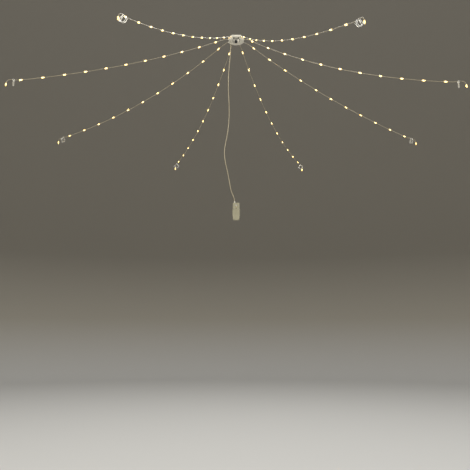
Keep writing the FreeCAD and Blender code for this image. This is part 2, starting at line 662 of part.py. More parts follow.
def hub_knuckle(low, high):
    """One hinge knuckle on the hub's rim with the web that carries it."""
    pivot = vec(GATE_PIVOT_X, GATE_PIVOT_Y, low)
    knuckle = Part.makeCylinder(GATE_KNUCKLE_RADIUS, high - low, pivot)
    azimuth = math.degrees(math.atan2(GATE_PIVOT_Y, GATE_PIVOT_X))
    web = block(HUB_RADIUS - HUB_WALL, GATE_PIVOT_REACH, -GATE_WEB_WIDTH / 2, GATE_WEB_WIDTH / 2, low, high)
    return knuckle.fuse(turned(web, azimuth))


def hub_wall_holes(shell):
    """The hub's shell with its holes for cords, lenses and the lead."""
    cord_hole = rod(GROMMET_BODY_RADIUS + SEAT_GAP, vec(HUB_INNER - OVERRUN, 0, EXIT_LEVEL),
                    vec(HUB_RADIUS + OVERRUN, 0, EXIT_LEVEL))
    lens_hole = rod(RIM_LENS_RADIUS + SEAT_GAP, vec(HUB_INNER - OVERRUN, 0, RIM_LENS_LEVEL),
                    vec(HUB_RADIUS + OVERRUN, 0, RIM_LENS_LEVEL))
    for azimuth in EXIT_AZIMUTHS:
        shell = shell.cut(turned(cord_hole, azimuth))
    for azimuth in RIM_LAMP_AZIMUTHS:
        shell = shell.cut(turned(lens_hole, azimuth))
    lead = vec(-LEAD_EXIT_REACH, 0, 0)
    return shell.cut(rod(GLAND_BODY_RADIUS + SEAT_GAP, lead + UP * (HUB_BOTTOM - OVERRUN),
                         lead + UP * (HUB_BOTTOM + HUB_WALL + OVERRUN)))


def hub_cover_shape():
    """Top cover of the hub, with a lip inside the shell and four countersunk screw holes."""
    plate = split_ring(HUB_RADIUS, HUB_BORE, MOUTH_HALF, HUB_RIM_TOP, HUB_TOP)
    top_edges = [edge for edge in plate.Edges
                 if edge.BoundBox.ZMin > HUB_TOP - SEAT_GAP and edge.BoundBox.XLength > HUB_RADIUS]
    plate = plate.makeFillet(HUB_EDGE_RADIUS, top_edges)
    lip_out = HUB_WALL + SEAT_GAP
    lip_in = lip_out + COVER_LIP_THICKNESS
    bottom = HUB_RIM_TOP - COVER_LIP_DEPTH
    lip = split_ring(HUB_RADIUS - lip_out, HUB_BORE + lip_out, MOUTH_HALF + lip_out, bottom, HUB_RIM_TOP)
    lip = lip.cut(split_ring(HUB_RADIUS - lip_in, HUB_BORE + lip_in, MOUTH_HALF + lip_in,
                             bottom - OVERRUN, HUB_RIM_TOP + OVERRUN))
    cover = plate.fuse(lip)
    for azimuth in SCREW_POST_AZIMUTHS:
        top = polar(SCREW_POST_REACH, azimuth, HUB_TOP + OVERRUN)
        cover = cover.cut(rod(SCREW_RADIUS + SEAT_GAP, top - UP * HUB_HEIGHT, top))
        seat = polar(SCREW_POST_REACH, azimuth, HUB_TOP - SCREW_HEAD_HEIGHT)
        cover = cover.cut(rod(SCREW_HEAD_RADIUS + SEAT_GAP, seat, top))
    return cover


def hub_board_shape():
    """Circuit board that sits on the hub's posts."""
    edge = HUB_WALL + BOARD_EDGE_GAP
    board = split_ring(HUB_INNER - BOARD_EDGE_GAP * 2, HUB_BORE + edge, MOUTH_HALF + edge,
                       BOARD_LEVEL, BOARD_LEVEL + BOARD_THICKNESS)
    for azimuth in SCREW_POST_AZIMUTHS:
        foot = polar(SCREW_POST_REACH, azimuth, BOARD_LEVEL - OVERRUN)
        board = board.cut(rod(SCREW_POST_NECK_RADIUS + SEAT_GAP, foot, foot + UP * (OVERRUN * 3)))
    return board


def grip_pads_shape():
    """Three rubber pads that line the hub's bore."""
    half = GRIP_PAD_HEIGHT / 2
    return Part.makeCompound([sector(POST_RADIUS + GRIP_PAD_THICKNESS, POST_RADIUS, azimuth, GRIP_PAD_SPAN,
                                     -half, half) for azimuth in GRIP_PAD_AZIMUTHS])


def hub_gate_shape():
    """Gate across the hub's mouth: curved bar, hinge arm, snap finger and the block that backs its pad."""
    bar = annulus(HUB_RADIUS, HUB_RADIUS - GATE_BAR_THICKNESS, GATE_BOTTOM, GATE_TOP)
    left = -MOUTH_HALF + GATE_END_INSET + PART_GAP
    bar = bar.common(block(left, MOUTH_HALF - PART_GAP, -HUB_RADIUS, 0, GATE_BOTTOM, GATE_TOP))
    stem = annulus(HUB_RADIUS - GATE_BAR_THICKNESS / 2, HUB_BORE + PART_GAP, GATE_BOTTOM, GATE_TOP)
    side = GATE_BLOCK_HALF_WIDTH
    stem = stem.common(block(-side, side, -HUB_RADIUS, 0, GATE_BOTTOM, GATE_TOP))
    arm_front = GATE_PIVOT_Y - GATE_KNUCKLE_RADIUS
    arm = block(0, GATE_PIVOT_X, arm_front, GATE_PIVOT_Y, GATE_BOTTOM, GATE_TOP)
    knuckle_low, knuckle_high = gate_hinge_spans()
    pivot = vec(GATE_PIVOT_X, GATE_PIVOT_Y, 0)
    knuckle = rod(GATE_KNUCKLE_RADIUS, pivot + UP * knuckle_low, pivot + UP * knuckle_high)
    finger_back = -HUB_RADIUS - PART_GAP
    finger = block(left - GATE_FINGER_REACH, 0, arm_front, finger_back + GATE_FINGER_THICKNESS,
                   GATE_BOTTOM, GATE_TOP)
    finger = finger.cut(Part.makeCylinder(HUB_RADIUS + PART_GAP, HUB_HEIGHT, vec(0, 0, GATE_BOTTOM)))
    tie = block(left + PART_GAP, MOUTH_HALF / 2, arm_front, -HUB_RADIUS + GATE_FINGER_THICKNESS * 2,
                GATE_BOTTOM, GATE_TOP)
    gate = bar.fuse([stem, arm, knuckle, finger, tie])
    swing_gap = GATE_KNUCKLE_RADIUS + PART_GAP
    gate = gate.cut(rod(swing_gap, pivot + UP * (GATE_BOTTOM - PART_GAP), pivot + UP * knuckle_low))
    gate = gate.cut(rod(swing_gap, pivot + UP * knuckle_high, pivot + UP * (GATE_TOP + PART_GAP)))
    return gate.cut(rod(GATE_PIN_RADIUS + RUNNING_CLEARANCE, pivot + UP * (GATE_BOTTOM - OVERRUN),
                        pivot + UP * (HUB_TOP + OVERRUN)))


def gate_pad_shape():
    """Rubber pad on the gate's block."""
    pad = annulus(HUB_BORE + PART_GAP - SEAT_GAP, POST_RADIUS, GATE_BOTTOM, GATE_TOP)
    inset = GATE_BLOCK_HALF_WIDTH - SEAT_GAP
    return pad.common(block(-inset, inset, -HUB_RADIUS, 0, GATE_BOTTOM, GATE_TOP))


def gate_pin_shape():
    """Hinge pin of the hub's gate."""
    pivot = vec(GATE_PIVOT_X, GATE_PIVOT_Y, 0)
    return rod(GATE_PIN_RADIUS, pivot + UP * GATE_BOTTOM, pivot + UP * GATE_TOP)


def gland_shape(nose_down):
    """A tapered gland about the lead, its wall between z = -wall and 0 and its nose below or above."""
    wall = HUB_WALL if nose_down else CASE_WALL
    bore = LEAD_RADIUS + CORD_CLEARANCE
    outline = [
        (-wall - GLAND_FLANGE_THICKNESS - SEAT_GAP, bore),
        (-wall - GLAND_FLANGE_THICKNESS - SEAT_GAP, GLAND_FLANGE_RADIUS),
        (-wall - SEAT_GAP, GLAND_FLANGE_RADIUS),
        (-wall - SEAT_GAP, GLAND_BODY_RADIUS),
        (SEAT_GAP, GLAND_BODY_RADIUS),
        (SEAT_GAP, GLAND_NOSE_RADIUS),
        (GLAND_FLANGE_THICKNESS, GLAND_NOSE_RADIUS),
        (GLAND_NOSE_LENGTH, GLAND_TIP_RADIUS),
        (GLAND_NOSE_LENGTH, bore),
    ]
    shape = spun([vec(radius, 0, level) for level, radius in outline], CENTRE, UP)
    if nose_down:
        shape.rotate(CENTRE, SIDE, 180)
    return shape


def lead_points():
    """The lead's route, from inside the hub to inside the battery case."""
    top = HUB_BOTTOM + HUB_WALL + LEAD_END_INSIDE
    below_nose = HUB_BOTTOM - GLAND_NOSE_LENGTH - GLAND_NOSE_LENGTH / 2
    above_nose = CASE_TOP + GLAND_NOSE_LENGTH + GLAND_NOSE_LENGTH / 2
    end = CASE_TOP - CASE_WALL - LEAD_END_INSIDE
    points = [vec(-LEAD_EXIT_REACH, 0, top), vec(-LEAD_EXIT_REACH, 0, below_nose)]
    points += [vec(x, y, z) for x, y, z in LEAD_ROUTE]
    points += [vec(LEAD_ENTRY_X, LEAD_Y, above_nose), vec(LEAD_ENTRY_X, LEAD_Y, end)]
    return points


def case_shell_box(margin, front, back):
    """A rounded box of the case's outline, smaller all round by a margin."""
    box = block(-CASE_HALF + margin, CASE_HALF - margin, front, back, CASE_BOTTOM + margin, CASE_TOP - margin)
    corners = [edge for edge in box.Edges if edge.BoundBox.YLength > abs(front - back) / 2]
    return box.makeFillet(CASE_CORNER_RADIUS - margin, corners)


def case_body_shape():
    """Back tray of the battery case, with its divider, board bosses and lid ears."""
    tray = case_shell_box(0, CASE_RIM, CASE_BACK)
    tray = tray.cut(case_shell_box(CASE_WALL, CASE_RIM - OVERRUN, CASE_INNER_BACK))
    divider = block(-CASE_INNER_HALF, CASE_INNER_HALF, CASE_RIM, CASE_INNER_BACK, BAY_TOP, FRONT_BOTTOM)
    wire_notch = block(-CASE_INNER_HALF, CASE_WALL - CASE_INNER_HALF, CASE_RIM + CASE_WALL, CASE_INNER_BACK,
                       BAY_TOP - OVERRUN, FRONT_BOTTOM + OVERRUN)
    tray = tray.fuse(divider.cut(wire_notch))
    for x, z in board_boss_places():
        foot = vec(x, CASE_INNER_BACK + CASE_WALL / 2, z)
        tray = tray.fuse(rod(CASE_BOSS_RADIUS, foot, vec(x, CASE_BOARD_BACK, z)))
    for x, z in front_screw_places():
        post = rod(FRONT_SCREW_INSET / 2, vec(x, CASE_INNER_BACK + CASE_WALL / 2, z), vec(x, CASE_RIM, z))
        hole = rod(FRONT_SCREW_RADIUS + SEAT_GAP, vec(x, CASE_RIM + FRONT_SCREW_LENGTH, z),
                   vec(x, CASE_RIM - OVERRUN, z))
        tray = tray.fuse(post).cut(hole)
    for side in (-1, 1):
        tray = tray.fuse(lid_ear(side))
    for z in clip_screw_levels():
        start = vec(0, CASE_INNER_BACK - OVERRUN, z)
        tray = tray.cut(rod(SCREW_RADIUS + SEAT_GAP, start, vec(0, CASE_BACK + OVERRUN, z)))
    entry = vec(LEAD_ENTRY_X, LEAD_Y, CASE_TOP)
    entry_hole = rod(GLAND_BODY_RADIUS + SEAT_GAP, entry - UP * (CASE_WALL * 2), entry + UP * OVERRUN)
    return tray.cut(lid_pin_hole()).cut(entry_hole)


def lid_pin_hole():
    """The cut for the lid's hinge pin, right across the case."""
    pivot = vec(0, LID_PIVOT_Y, LID_PIVOT_Z)
    return rod(LID_PIN_RADIUS + RUNNING_CLEARANCE, pivot - SIDE * CASE_WIDTH, pivot + SIDE * CASE_WIDTH)


def board_boss_places():
    """Places of the four bosses under the case's circuit board."""
    middle = CASE_BOARD_TOP - CASE_BOARD_HEIGHT / 2
    return [(x, middle + z) for x in (-CASE_BOSS_INSET_X, CASE_BOSS_INSET_X)
            for z in (-CASE_BOSS_INSET_Z, CASE_BOSS_INSET_Z)]


def front_screw_places():
    """Places of the two screws in the case's front cover."""
    z = FRONT_BOTTOM + FRONT_SCREW_INSET
    return [(-CASE_HALF + FRONT_SCREW_INSET, z), (CASE_HALF - FRONT_SCREW_INSET, z)]


def clip_screw_levels():
    """Levels of the two screws that hold the post clip."""
    middle = (CASE_TOP + CASE_BOTTOM) / 2
    return (middle - CLIP_SCREW_SPACING / 2, middle + CLIP_SCREW_SPACING / 2)


def lid_ear(side):
    """One hinge ear below the case, left or right of the lid's knuckle."""
    inner = LID_KNUCKLE_HALF_WIDTH + PART_GAP
    x0, x1 = sorted((side * inner, side * (inner + LID_EAR_WIDTH)))
    ear = rod(LID_KNUCKLE_RADIUS, vec(x0, LID_PIVOT_Y, LID_PIVOT_Z), vec(x1, LID_PIVOT_Y, LID_PIVOT_Z))
    web_back = LID_PIVOT_Y + LID_KNUCKLE_RADIUS
    return ear.fuse(block(x0, x1, LID_PIVOT_Y, web_back, LID_PIVOT_Z, CASE_BOTTOM + CASE_WALL / 2))


def case_front_shape():
    """Fixed cover over the case's upper part, with holes for the button, the window and two screws."""
    plate = case_shell_box(0, CASE_FACE, CASE_RIM)
    plate = plate.common(block(-CASE_WIDTH, CASE_WIDTH, CASE_FACE, CASE_RIM, FRONT_BOTTOM, CASE_TOP))
    plate = soft_face(plate)
    holes = [front_hole(BUTTON_RADIUS + PART_GAP, 0, BUTTON_LEVEL, CASE_RIM),
             front_hole(WINDOW_RADIUS + SEAT_GAP, 0, WINDOW_LEVEL, CASE_RIM)]
    for x, z in front_screw_places():
        holes.append(front_hole(FRONT_SCREW_RADIUS + SEAT_GAP, x, z, CASE_RIM))
        head_back = CASE_FACE + FRONT_SCREW_HEAD_HEIGHT
        holes.append(front_hole(FRONT_SCREW_HEAD_RADIUS + SEAT_GAP, x, z, head_back))
    return plate.cut(holes)


def front_hole(radius, x, z, back):
    """A round cut into the case's front, down to a depth."""
    return rod(radius, vec(x, CASE_FACE - OVERRUN, z), vec(x, back, z))


def soft_face(plate):
    """A cover with the edge of its outer face rounded."""
    edges = [edge for edge in plate.Edges if edge.BoundBox.YMax < CASE_FACE + SEAT_GAP]
    return plate.makeFillet(FRONT_EDGE_RADIUS, edges)


def case_lid_shape():
    """Hinged lid over the battery bay, with its knuckle and a thumb ridge."""
    back = CASE_RIM - PART_GAP
    top = FRONT_BOTTOM - PART_GAP
    plate = case_shell_box(0, CASE_FACE, back)
    plate = plate.common(block(-CASE_WIDTH, CASE_WIDTH, CASE_FACE, back, CASE_BOTTOM, top))
    plate = soft_face(plate)
    skirt = block(-LID_KNUCKLE_HALF_WIDTH, LID_KNUCKLE_HALF_WIDTH, LID_PIVOT_Y - LID_KNUCKLE_RADIUS, back,
                  LID_PIVOT_Z, CASE_BOTTOM + LID_DROP)
    pivot = vec(0, LID_PIVOT_Y, LID_PIVOT_Z)
    half = LID_KNUCKLE_HALF_WIDTH
    knuckle = rod(LID_KNUCKLE_RADIUS, pivot - SIDE * half, pivot + SIDE * half)
    ridge_top = top - LID_RIDGE_INSET
    ridge = block(-LID_RIDGE_WIDTH / 2, LID_RIDGE_WIDTH / 2, CASE_FACE - LID_RIDGE_PROUD,
                  CASE_FACE + FRONT_EDGE_RADIUS, ridge_top - LID_RIDGE_HEIGHT, ridge_top)
    ridge = ridge.makeFillet(LID_RIDGE_PROUD * LID_RIDGE_SOFT_SHARE, ridge.Edges)
    lid = plate.fuse([skirt, knuckle, ridge])
    for side in (-1, 1):
        x0, x1 = sorted((side * half, side * (half + LID_EAR_WIDTH + PART_GAP * 2)))
        lid = lid.cut(rod(LID_KNUCKLE_RADIUS + PART_GAP, pivot + SIDE * x0, pivot + SIDE * x1))
    return lid.cut(lid_pin_hole())


def lid_pin_shape():
    """Hinge pin of the case's lid."""
    reach = LID_KNUCKLE_HALF_WIDTH + PART_GAP + LID_EAR_WIDTH
    pivot = vec(0, LID_PIVOT_Y, LID_PIVOT_Z)
    return rod(LID_PIN_RADIUS, pivot - SIDE * reach, pivot + SIDE * reach)


def lid_seal_shape():
    """Rubber gasket just inside the battery bay's rim."""
    front = CASE_RIM - SEAL_PROUD
    back = CASE_RIM + SEAL_DEPTH
    outer = block(-CASE_INNER_HALF, CASE_INNER_HALF, front, back, BAY_BOTTOM, BAY_TOP)
    bottom_corners = [edge for edge in outer.Edges if edge.BoundBox.YLength > SEAL_DEPTH / 2
                      and edge.BoundBox.ZMax < BAY_BOTTOM + SEAT_GAP]
    outer = outer.makeFillet(CASE_CORNER_RADIUS - CASE_WALL, bottom_corners)
    half = CASE_INNER_HALF - SEAL_THICKNESS
    return outer.cut(block(-half, half, front - OVERRUN, back + OVERRUN,
                           BAY_BOTTOM + SEAL_THICKNESS, BAY_TOP - SEAL_THICKNESS))


def cell_places():
    """Sideways places of the battery cells."""
    return [(index - (CELL_COUNT - 1) / 2) * CELL_PITCH for index in range(CELL_COUNT)]


def cell_level():
    """Level of the top of a cell's nub, against its contact plate."""
    return BAY_TOP - PLATE_THICKNESS


def battery_cells_shape():
    """Three upright battery cells."""
    cells = []
    for x in cell_places():
        top = vec(x, LEAD_Y, cell_level())
        shoulder = top - UP * CELL_NUB_LENGTH
        can = rod(CELL_RADIUS, shoulder - UP * CELL_LENGTH, shoulder)
        rims = [edge for edge in can.Edges if edge.Length > CELL_RADIUS and edge.BoundBox.ZLength < SEAT_GAP]
        can = can.makeFillet(CELL_NUB_LENGTH / 2, rims)
        cells.append(can.fuse(rod(CELL_NUB_RADIUS, shoulder - UP * CELL_NUB_LENGTH, top)))
    return Part.makeCompound(cells)


def contact_springs_shape():
    """Three coil contacts below the cells, each one stepped cone."""
    step = SPRING_HEIGHT / SPRING_TURNS
    springs = []
    for x in cell_places():
        outline = [vec(0, 0, 0)]
        for turn in range(SPRING_TURNS):
            share = turn / SPRING_TURNS
            radius = SPRING_BASE_RADIUS + (SPRING_TOP_RADIUS - SPRING_BASE_RADIUS) * share
            outline += [vec(radius - SPRING_BITE, 0, step * turn), vec(radius, 0, step * (turn + 0.5)),
                        vec(radius - SPRING_BITE, 0, step * (turn + 1))]
        outline.append(vec(0, 0, SPRING_HEIGHT))
        spring = spun(outline, CENTRE, UP)
        spring.translate(vec(x, LEAD_Y, BAY_BOTTOM + PLATE_THICKNESS))
        springs.append(spring)
    return Part.makeCompound(springs)


def contact_plates_shape():
    """Metal plates at both ends of the battery bay."""
    half = PLATE_SIDE / 2
    plates = []
    for x in cell_places():
        for low in (BAY_BOTTOM, BAY_TOP - PLATE_THICKNESS):
            plates.append(block(x - half, x + half, LEAD_Y - half, LEAD_Y + half, low, low + PLATE_THICKNESS))
    return Part.makeCompound(plates)


def control_board_shape():
    """Circuit board in the case's upper part, with its switch and receiver."""
    half = CASE_BOARD_WIDTH / 2
    board = block(-half, half, CASE_BOARD_FACE, CASE_BOARD_BACK,
                  CASE_BOARD_TOP - CASE_BOARD_HEIGHT, CASE_BOARD_TOP)
    for x, z in front_screw_places():
        board = board.cut(rod(FRONT_SCREW_INSET / 2 + PART_GAP, vec(x, CASE_RIM, z), vec(x, CASE_BACK, z)))
    side = SWITCH_SIDE / 2
    switch = block(-side, side, CASE_BOARD_FACE - SWITCH_HEIGHT, CASE_BOARD_FACE,
                   BUTTON_LEVEL - side, BUTTON_LEVEL + side)
    side = RECEIVER_SIDE / 2
    receiver = block(-side, side, CASE_BOARD_FACE - RECEIVER_HEIGHT, CASE_BOARD_FACE,
                     WINDOW_LEVEL - side, WINDOW_LEVEL + side)
    return board.fuse(switch).fuse(receiver)


def facing_rod(radius, z, front, back):
    """A round piece on the case's middle line, from one depth to another."""
    return rod(radius, vec(0, front, z), vec(0, back, z))


def power_button_shape():
    """Round push button with the flange and stem behind the cover."""
    flange_front = CASE_RIM + SEAT_GAP
    flange_back = flange_front + BUTTON_FLANGE_THICKNESS
    cap_front = CASE_FACE - BUTTON_PROUD
    cap = facing_rod(BUTTON_RADIUS, BUTTON_LEVEL, cap_front, flange_back)
    rim = [edge for edge in cap.Edges if edge.BoundBox.YMax < cap_front + SEAT_GAP]
    cap = cap.makeFillet(BUTTON_PROUD / 2, rim)
    flange = facing_rod(BUTTON_RADIUS + BUTTON_FLANGE, BUTTON_LEVEL, flange_front, flange_back)
    stem_end = CASE_BOARD_FACE - SWITCH_HEIGHT - BUTTON_TRAVEL - SEAT_GAP
    stem = facing_rod(BUTTON_STEM_RADIUS, BUTTON_LEVEL, flange_front, stem_end)
    return cap.fuse(flange).fuse(stem)


def receiver_window_shape():
    """Dark window over the remote control's receiver."""
    flange_front = CASE_RIM + SEAT_GAP
    pane = facing_rod(WINDOW_RADIUS, WINDOW_LEVEL, CASE_FACE - SEAT_GAP * 3, flange_front + SEAT_GAP)
    flange = facing_rod(WINDOW_RADIUS + WINDOW_FLANGE, WINDOW_LEVEL, flange_front,
                        flange_front + WINDOW_FLANGE_THICKNESS)
    return pane.fuse(flange)


def post_clip_shape():
    """Spring clip behind the case that snaps round the post."""
    middle = (CASE_TOP + CASE_BOTTOM) / 2
    z0 = middle - CLIP_HEIGHT / 2
    z1 = middle + CLIP_HEIGHT / 2
    outer = POST_RADIUS + CLIP_WALL
    clip = sector(outer, POST_RADIUS, 270, 360 - CLIP_MOUTH_ANGLE, z0, z1)
    for azimuth in (90 - CLIP_MOUTH_ANGLE / 2, 90 + CLIP_MOUTH_ANGLE / 2):
        lip = polar(outer, azimuth, z0)
        clip = clip.fuse(Part.makeCylinder(CLIP_LIP_RADIUS, CLIP_HEIGHT, lip))
    saddle = block(-CLIP_SADDLE_WIDTH / 2, CLIP_SADDLE_WIDTH / 2, CASE_BACK, -POST_RADIUS, z0, z1)
    clip = clip.fuse(saddle)
    for z in clip_screw_levels():
        clip = clip.cut(rod(SCREW_RADIUS + SEAT_GAP, vec(0, CASE_BACK - OVERRUN, z),
                            vec(0, CASE_BACK + CLIP_SCREW_LENGTH, z)))
    return clip.cut(Part.makeCylinder(POST_RADIUS, CLIP_HEIGHT, vec(0, 0, z0)))


def housing_screws_shape():
    """Screws of the hub's cover, the case's front and the post clip."""
    screws = []
    cover_screw = screw(SCREW_RADIUS, SCREW_HEAD_RADIUS, SCREW_HEAD_HEIGHT, SCREW_LENGTH)
    for azimuth in SCREW_POST_AZIMUTHS:
        copy = cover_screw.copy()
        copy.translate(polar(SCREW_POST_REACH, azimuth, HUB_TOP))
        screws.append(copy)
    front_screw = screw(FRONT_SCREW_RADIUS, FRONT_SCREW_HEAD_RADIUS, FRONT_SCREW_HEAD_HEIGHT,
                        FRONT_SCREW_LENGTH)
    front_screw.rotate(CENTRE, SIDE, 90)
    for x, z in front_screw_places():
        copy = front_screw.copy()
        copy.translate(vec(x, CASE_FACE, z))
        screws.append(copy)
    clip_screw_length = SCREW_HEAD_HEIGHT + CASE_WALL + CASE_STANDOFF / 2
    clip_screw = screw(SCREW_RADIUS, SCREW_HEAD_RADIUS, SCREW_HEAD_HEIGHT, clip_screw_length)
    clip_screw.rotate(CENTRE, SIDE, 90)
    for z in clip_screw_levels():
        copy = clip_screw.copy()
        copy.translate(vec(0, CASE_INNER_BACK - SCREW_HEAD_HEIGHT, z))
        screws.append(copy)
    return Part.makeCompound(screws)


def save(name, shape):
    """Check a node's shape and write it."""
    solids = len(shape.Solids)
    box = shape.BoundBox
    size = "%.1f x %.1f x %.1f" % (box.XLength, box.YLength, box.ZLength)
    print("%-18s solids %3d valid %s size %s" % (name, solids, shape.isValid(), size))
    shape.exportStep("parts/" + name + ".step")


def save_hub():
    """The hub's pieces."""
    save("hub_body", hub_body_shape())
    save("hub_cover", hub_cover_shape())
    save("hub_circuit_board", hub_board_shape())
    save("grip_pads", grip_pads_shape())
    save("hub_gate", hub_gate_shape())
    save("gate_pad", gate_pad_shape())
    save("gate_pin", gate_pin_shape())
    grommet = grommet_shape()
    save("strand_grommets", Part.makeCompound([turned(grommet, azimuth) for azimuth in EXIT_AZIMUTHS]))
    lens = rim_lens_shape()
    save("rim_lenses", Part.makeCompound([turned(lens, azimuth) for azimuth in RIM_LAMP_AZIMUTHS]))
    chip = rim_chip_shape()
    save("rim_chips", Part.makeCompound([turned(chip, azimuth) for azimuth in RIM_LAMP_AZIMUTHS]))
    collar = gland_shape(True)
    collar.translate(vec(-LEAD_EXIT_REACH, 0, HUB_BOTTOM))
    save("lead_collar", collar)


def save_strands():
    """The eight strands: cords, beads and lamp chips."""
    bead = bead_body()
    chip = chip_box(0)
    chips = []
    for number in range(len(STRAND_AZIMUTHS)):
        label = str(number + 1)
        points = strand_points(number)
        save("strand_" + label, tube("strand " + label, points, CORD_RADIUS))
        places = bead_places(number, points)
        save("beads_" + label, Part.makeCompound([laid_along(bead, point, way) for point, way in places]))
        chips += [laid_along(chip, point, way) for point, way in places]
    save("lamp_chips", Part.makeCompound(chips))


def save_rings():
    """The eight clip rings."""
    base = ring_base_shape()
    gate = ring_gate_shape()
    pin = ring_pin_shape()
    for number in range(len(STRAND_AZIMUTHS)):
        save("ring_base_" + str(number + 1), at_tip(base, number))
        save("ring_gate_" + str(number + 1), at_tip(gate, number))
    save("ring_pins", Part.makeCompound([at_tip(pin, number) for number in range(len(STRAND_AZIMUTHS))]))


def save_case():
    """The battery case, its clip and its lead."""
    save("lead", tube("lead", lead_points(), LEAD_RADIUS))
    save("case_body", case_body_shape())
    save("case_front", case_front_shape())
    save("case_lid", case_lid_shape())
    save("lid_pin", lid_pin_shape())
    save("lid_seal", lid_seal_shape())
    save("battery_cells", battery_cells_shape())
    save("contact_springs", contact_springs_shape())
    save("contact_plates", contact_plates_shape())
    save("control_board", control_board_shape())
    save("power_button", power_button_shape())
    save("receiver_window", receiver_window_shape())
    gland = gland_shape(False)
    gland.translate(vec(LEAD_ENTRY_X, LEAD_Y, CASE_TOP))
    save("case_gland", gland)
    save("post_clip", post_clip_shape())
    save("housing_screws", housing_screws_shape())


save_hub()
save_strands()
save_rings()
save_case()
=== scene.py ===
import json
import math

import bmesh
import bpy
from mathutils import Matrix, Vector


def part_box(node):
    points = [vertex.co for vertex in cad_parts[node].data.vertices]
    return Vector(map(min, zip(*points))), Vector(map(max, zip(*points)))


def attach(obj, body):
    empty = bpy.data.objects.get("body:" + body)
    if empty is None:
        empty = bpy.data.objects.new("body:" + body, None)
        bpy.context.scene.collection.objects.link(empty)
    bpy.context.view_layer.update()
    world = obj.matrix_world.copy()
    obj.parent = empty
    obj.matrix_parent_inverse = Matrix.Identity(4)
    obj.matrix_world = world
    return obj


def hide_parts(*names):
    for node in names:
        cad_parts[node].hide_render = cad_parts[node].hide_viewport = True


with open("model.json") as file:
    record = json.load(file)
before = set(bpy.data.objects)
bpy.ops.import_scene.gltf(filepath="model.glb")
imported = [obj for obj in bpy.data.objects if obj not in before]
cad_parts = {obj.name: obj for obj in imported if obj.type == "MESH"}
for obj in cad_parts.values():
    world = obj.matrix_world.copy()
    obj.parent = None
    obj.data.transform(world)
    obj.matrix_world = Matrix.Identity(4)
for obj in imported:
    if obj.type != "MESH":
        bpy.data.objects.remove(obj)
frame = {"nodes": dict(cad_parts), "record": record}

bl_info = {
    "name": "Garden string lights",
    "version": (1, 0, 0),
    "blender": (4, 5, 0),
    "location": "3D View > Sidebar > String Lights",
    "description": "Eight swagged strands of clear beads on a split hub, with clip rings and a battery case",
    "category": "Object",
}

MOUNTS = {mount["name"]: mount for mount in frame["record"]["mounts"]}
UP = Vector((0.0, 0.0, 1.0))

# Strands: tip azimuth in degrees, then sag, sideways bow and drop in metres, and the azimuth of the
# hub's exit
STRANDS = (
    (21.5, 0.030, 0.017, 0.472, 22.50),
    (66.5, 0.081, 0.014, 0.467, 67.50),
    (111.5, 0.062, -0.014, 0.453, 112.50),
    (157.4, 0.050, -0.028, 0.457, 157.50),
    (202.6, 0.047, 0.039, 0.450, 202.50),
    (248.0, 0.038, -0.005, 0.451, 234.72),
    (294.0, 0.058, -0.024, 0.459, 305.28),
    (336.0, 0.079, -0.051, 0.471, 337.50),
)

# A strand's route: share of the way out, of the drop, of the sag and bow, and of the
# sideways start
STRAND_ROUTE_SHARES = (
    (0.0000, 0.0000, 0.000, 1.00),
    (0.0090, 0.0027, 0.011, 1.18),
    (0.0208, 0.0100, 0.039, 1.33),
    (0.0376, 0.0260, 0.100, 1.40),
    (0.0660, 0.0567, 0.209, 1.32),
    (0.1050, 0.0977, 0.347, 1.10),
    (0.1470, 0.1410, 0.480, 0.82),
    (0.1890, 0.1838, 0.597, 0.58),
    (0.2310, 0.2268, 0.698, 0.38),
    (0.2730, 0.2697, 0.785, 0.22),
    (0.3150, 0.3125, 0.857, 0.10),
    (0.3570, 0.3553, 0.914, 0.03),
    (0.3990, 0.3980, 0.956, 0.00),
    (0.4410, 0.4405, 0.984, 0.00),
    (0.4830, 0.4830, 0.998, 0.00),
    (0.5250, 0.5250, 0.997, 0.00),
    (0.5670, 0.5670, 0.982, 0.00),
    (0.6090, 0.6090, 0.953, 0.00),
    (0.6510, 0.6510, 0.909, 0.00),
    (0.6930, 0.6930, 0.851, 0.00),
    (0.7350, 0.7350, 0.779, 0.00),
    (0.7770, 0.7770, 0.693, 0.00),
    (0.8190, 0.8190, 0.593, 0.00),
    (0.8610, 0.8610, 0.479, 0.00),
    (0.9030, 0.9030, 0.350, 0.00),
    (0.9430, 0.9430, 0.215, 0.00),
    (0.9740, 0.9740, 0.101, 0.00),
    (1.0000, 1.0000, 0.000, 0.00),
)

# The cords' level at the hub, the reaches of a cord's start, of its route's two ends and of the clip ring's
# boss, and the hanging tail's steps beyond that boss
EXIT_LEVEL = -0.007
CORD_START_REACH = 0.0448
ROUTE_START_REACH = 0.0555
ROUTE_END_REACH = 1.245
BOSS_END_REACH = 1.271
TAIL_STEPS = ((0.007, 0.0), (0.022, -0.0064), (0.0302, -0.019), (0.0316, -0.034))

# A strand's beads: the first one's reach from the post's axis, the step between them, their count on the
# run, the end bead's place beyond the clip ring's boss, and half a bead's length
FIRST_BEAD_REACHES = (0.1190, 0.1109, 0.1211, 0.1200, 0.1370, 0.1540, 0.0840, 0.1090)
BEAD_PITCH = 0.1093
BEADS_ON_RUN = 11
END_BEAD_STEP = (0.0313, -0.0310)
BEAD_HALF = 0.009

# A cord curve's order, its steps between points and its steps round a quarter
CORD_ORDER = 3
CORD_STEPS = 6
CORD_QUARTER_STEPS = 2

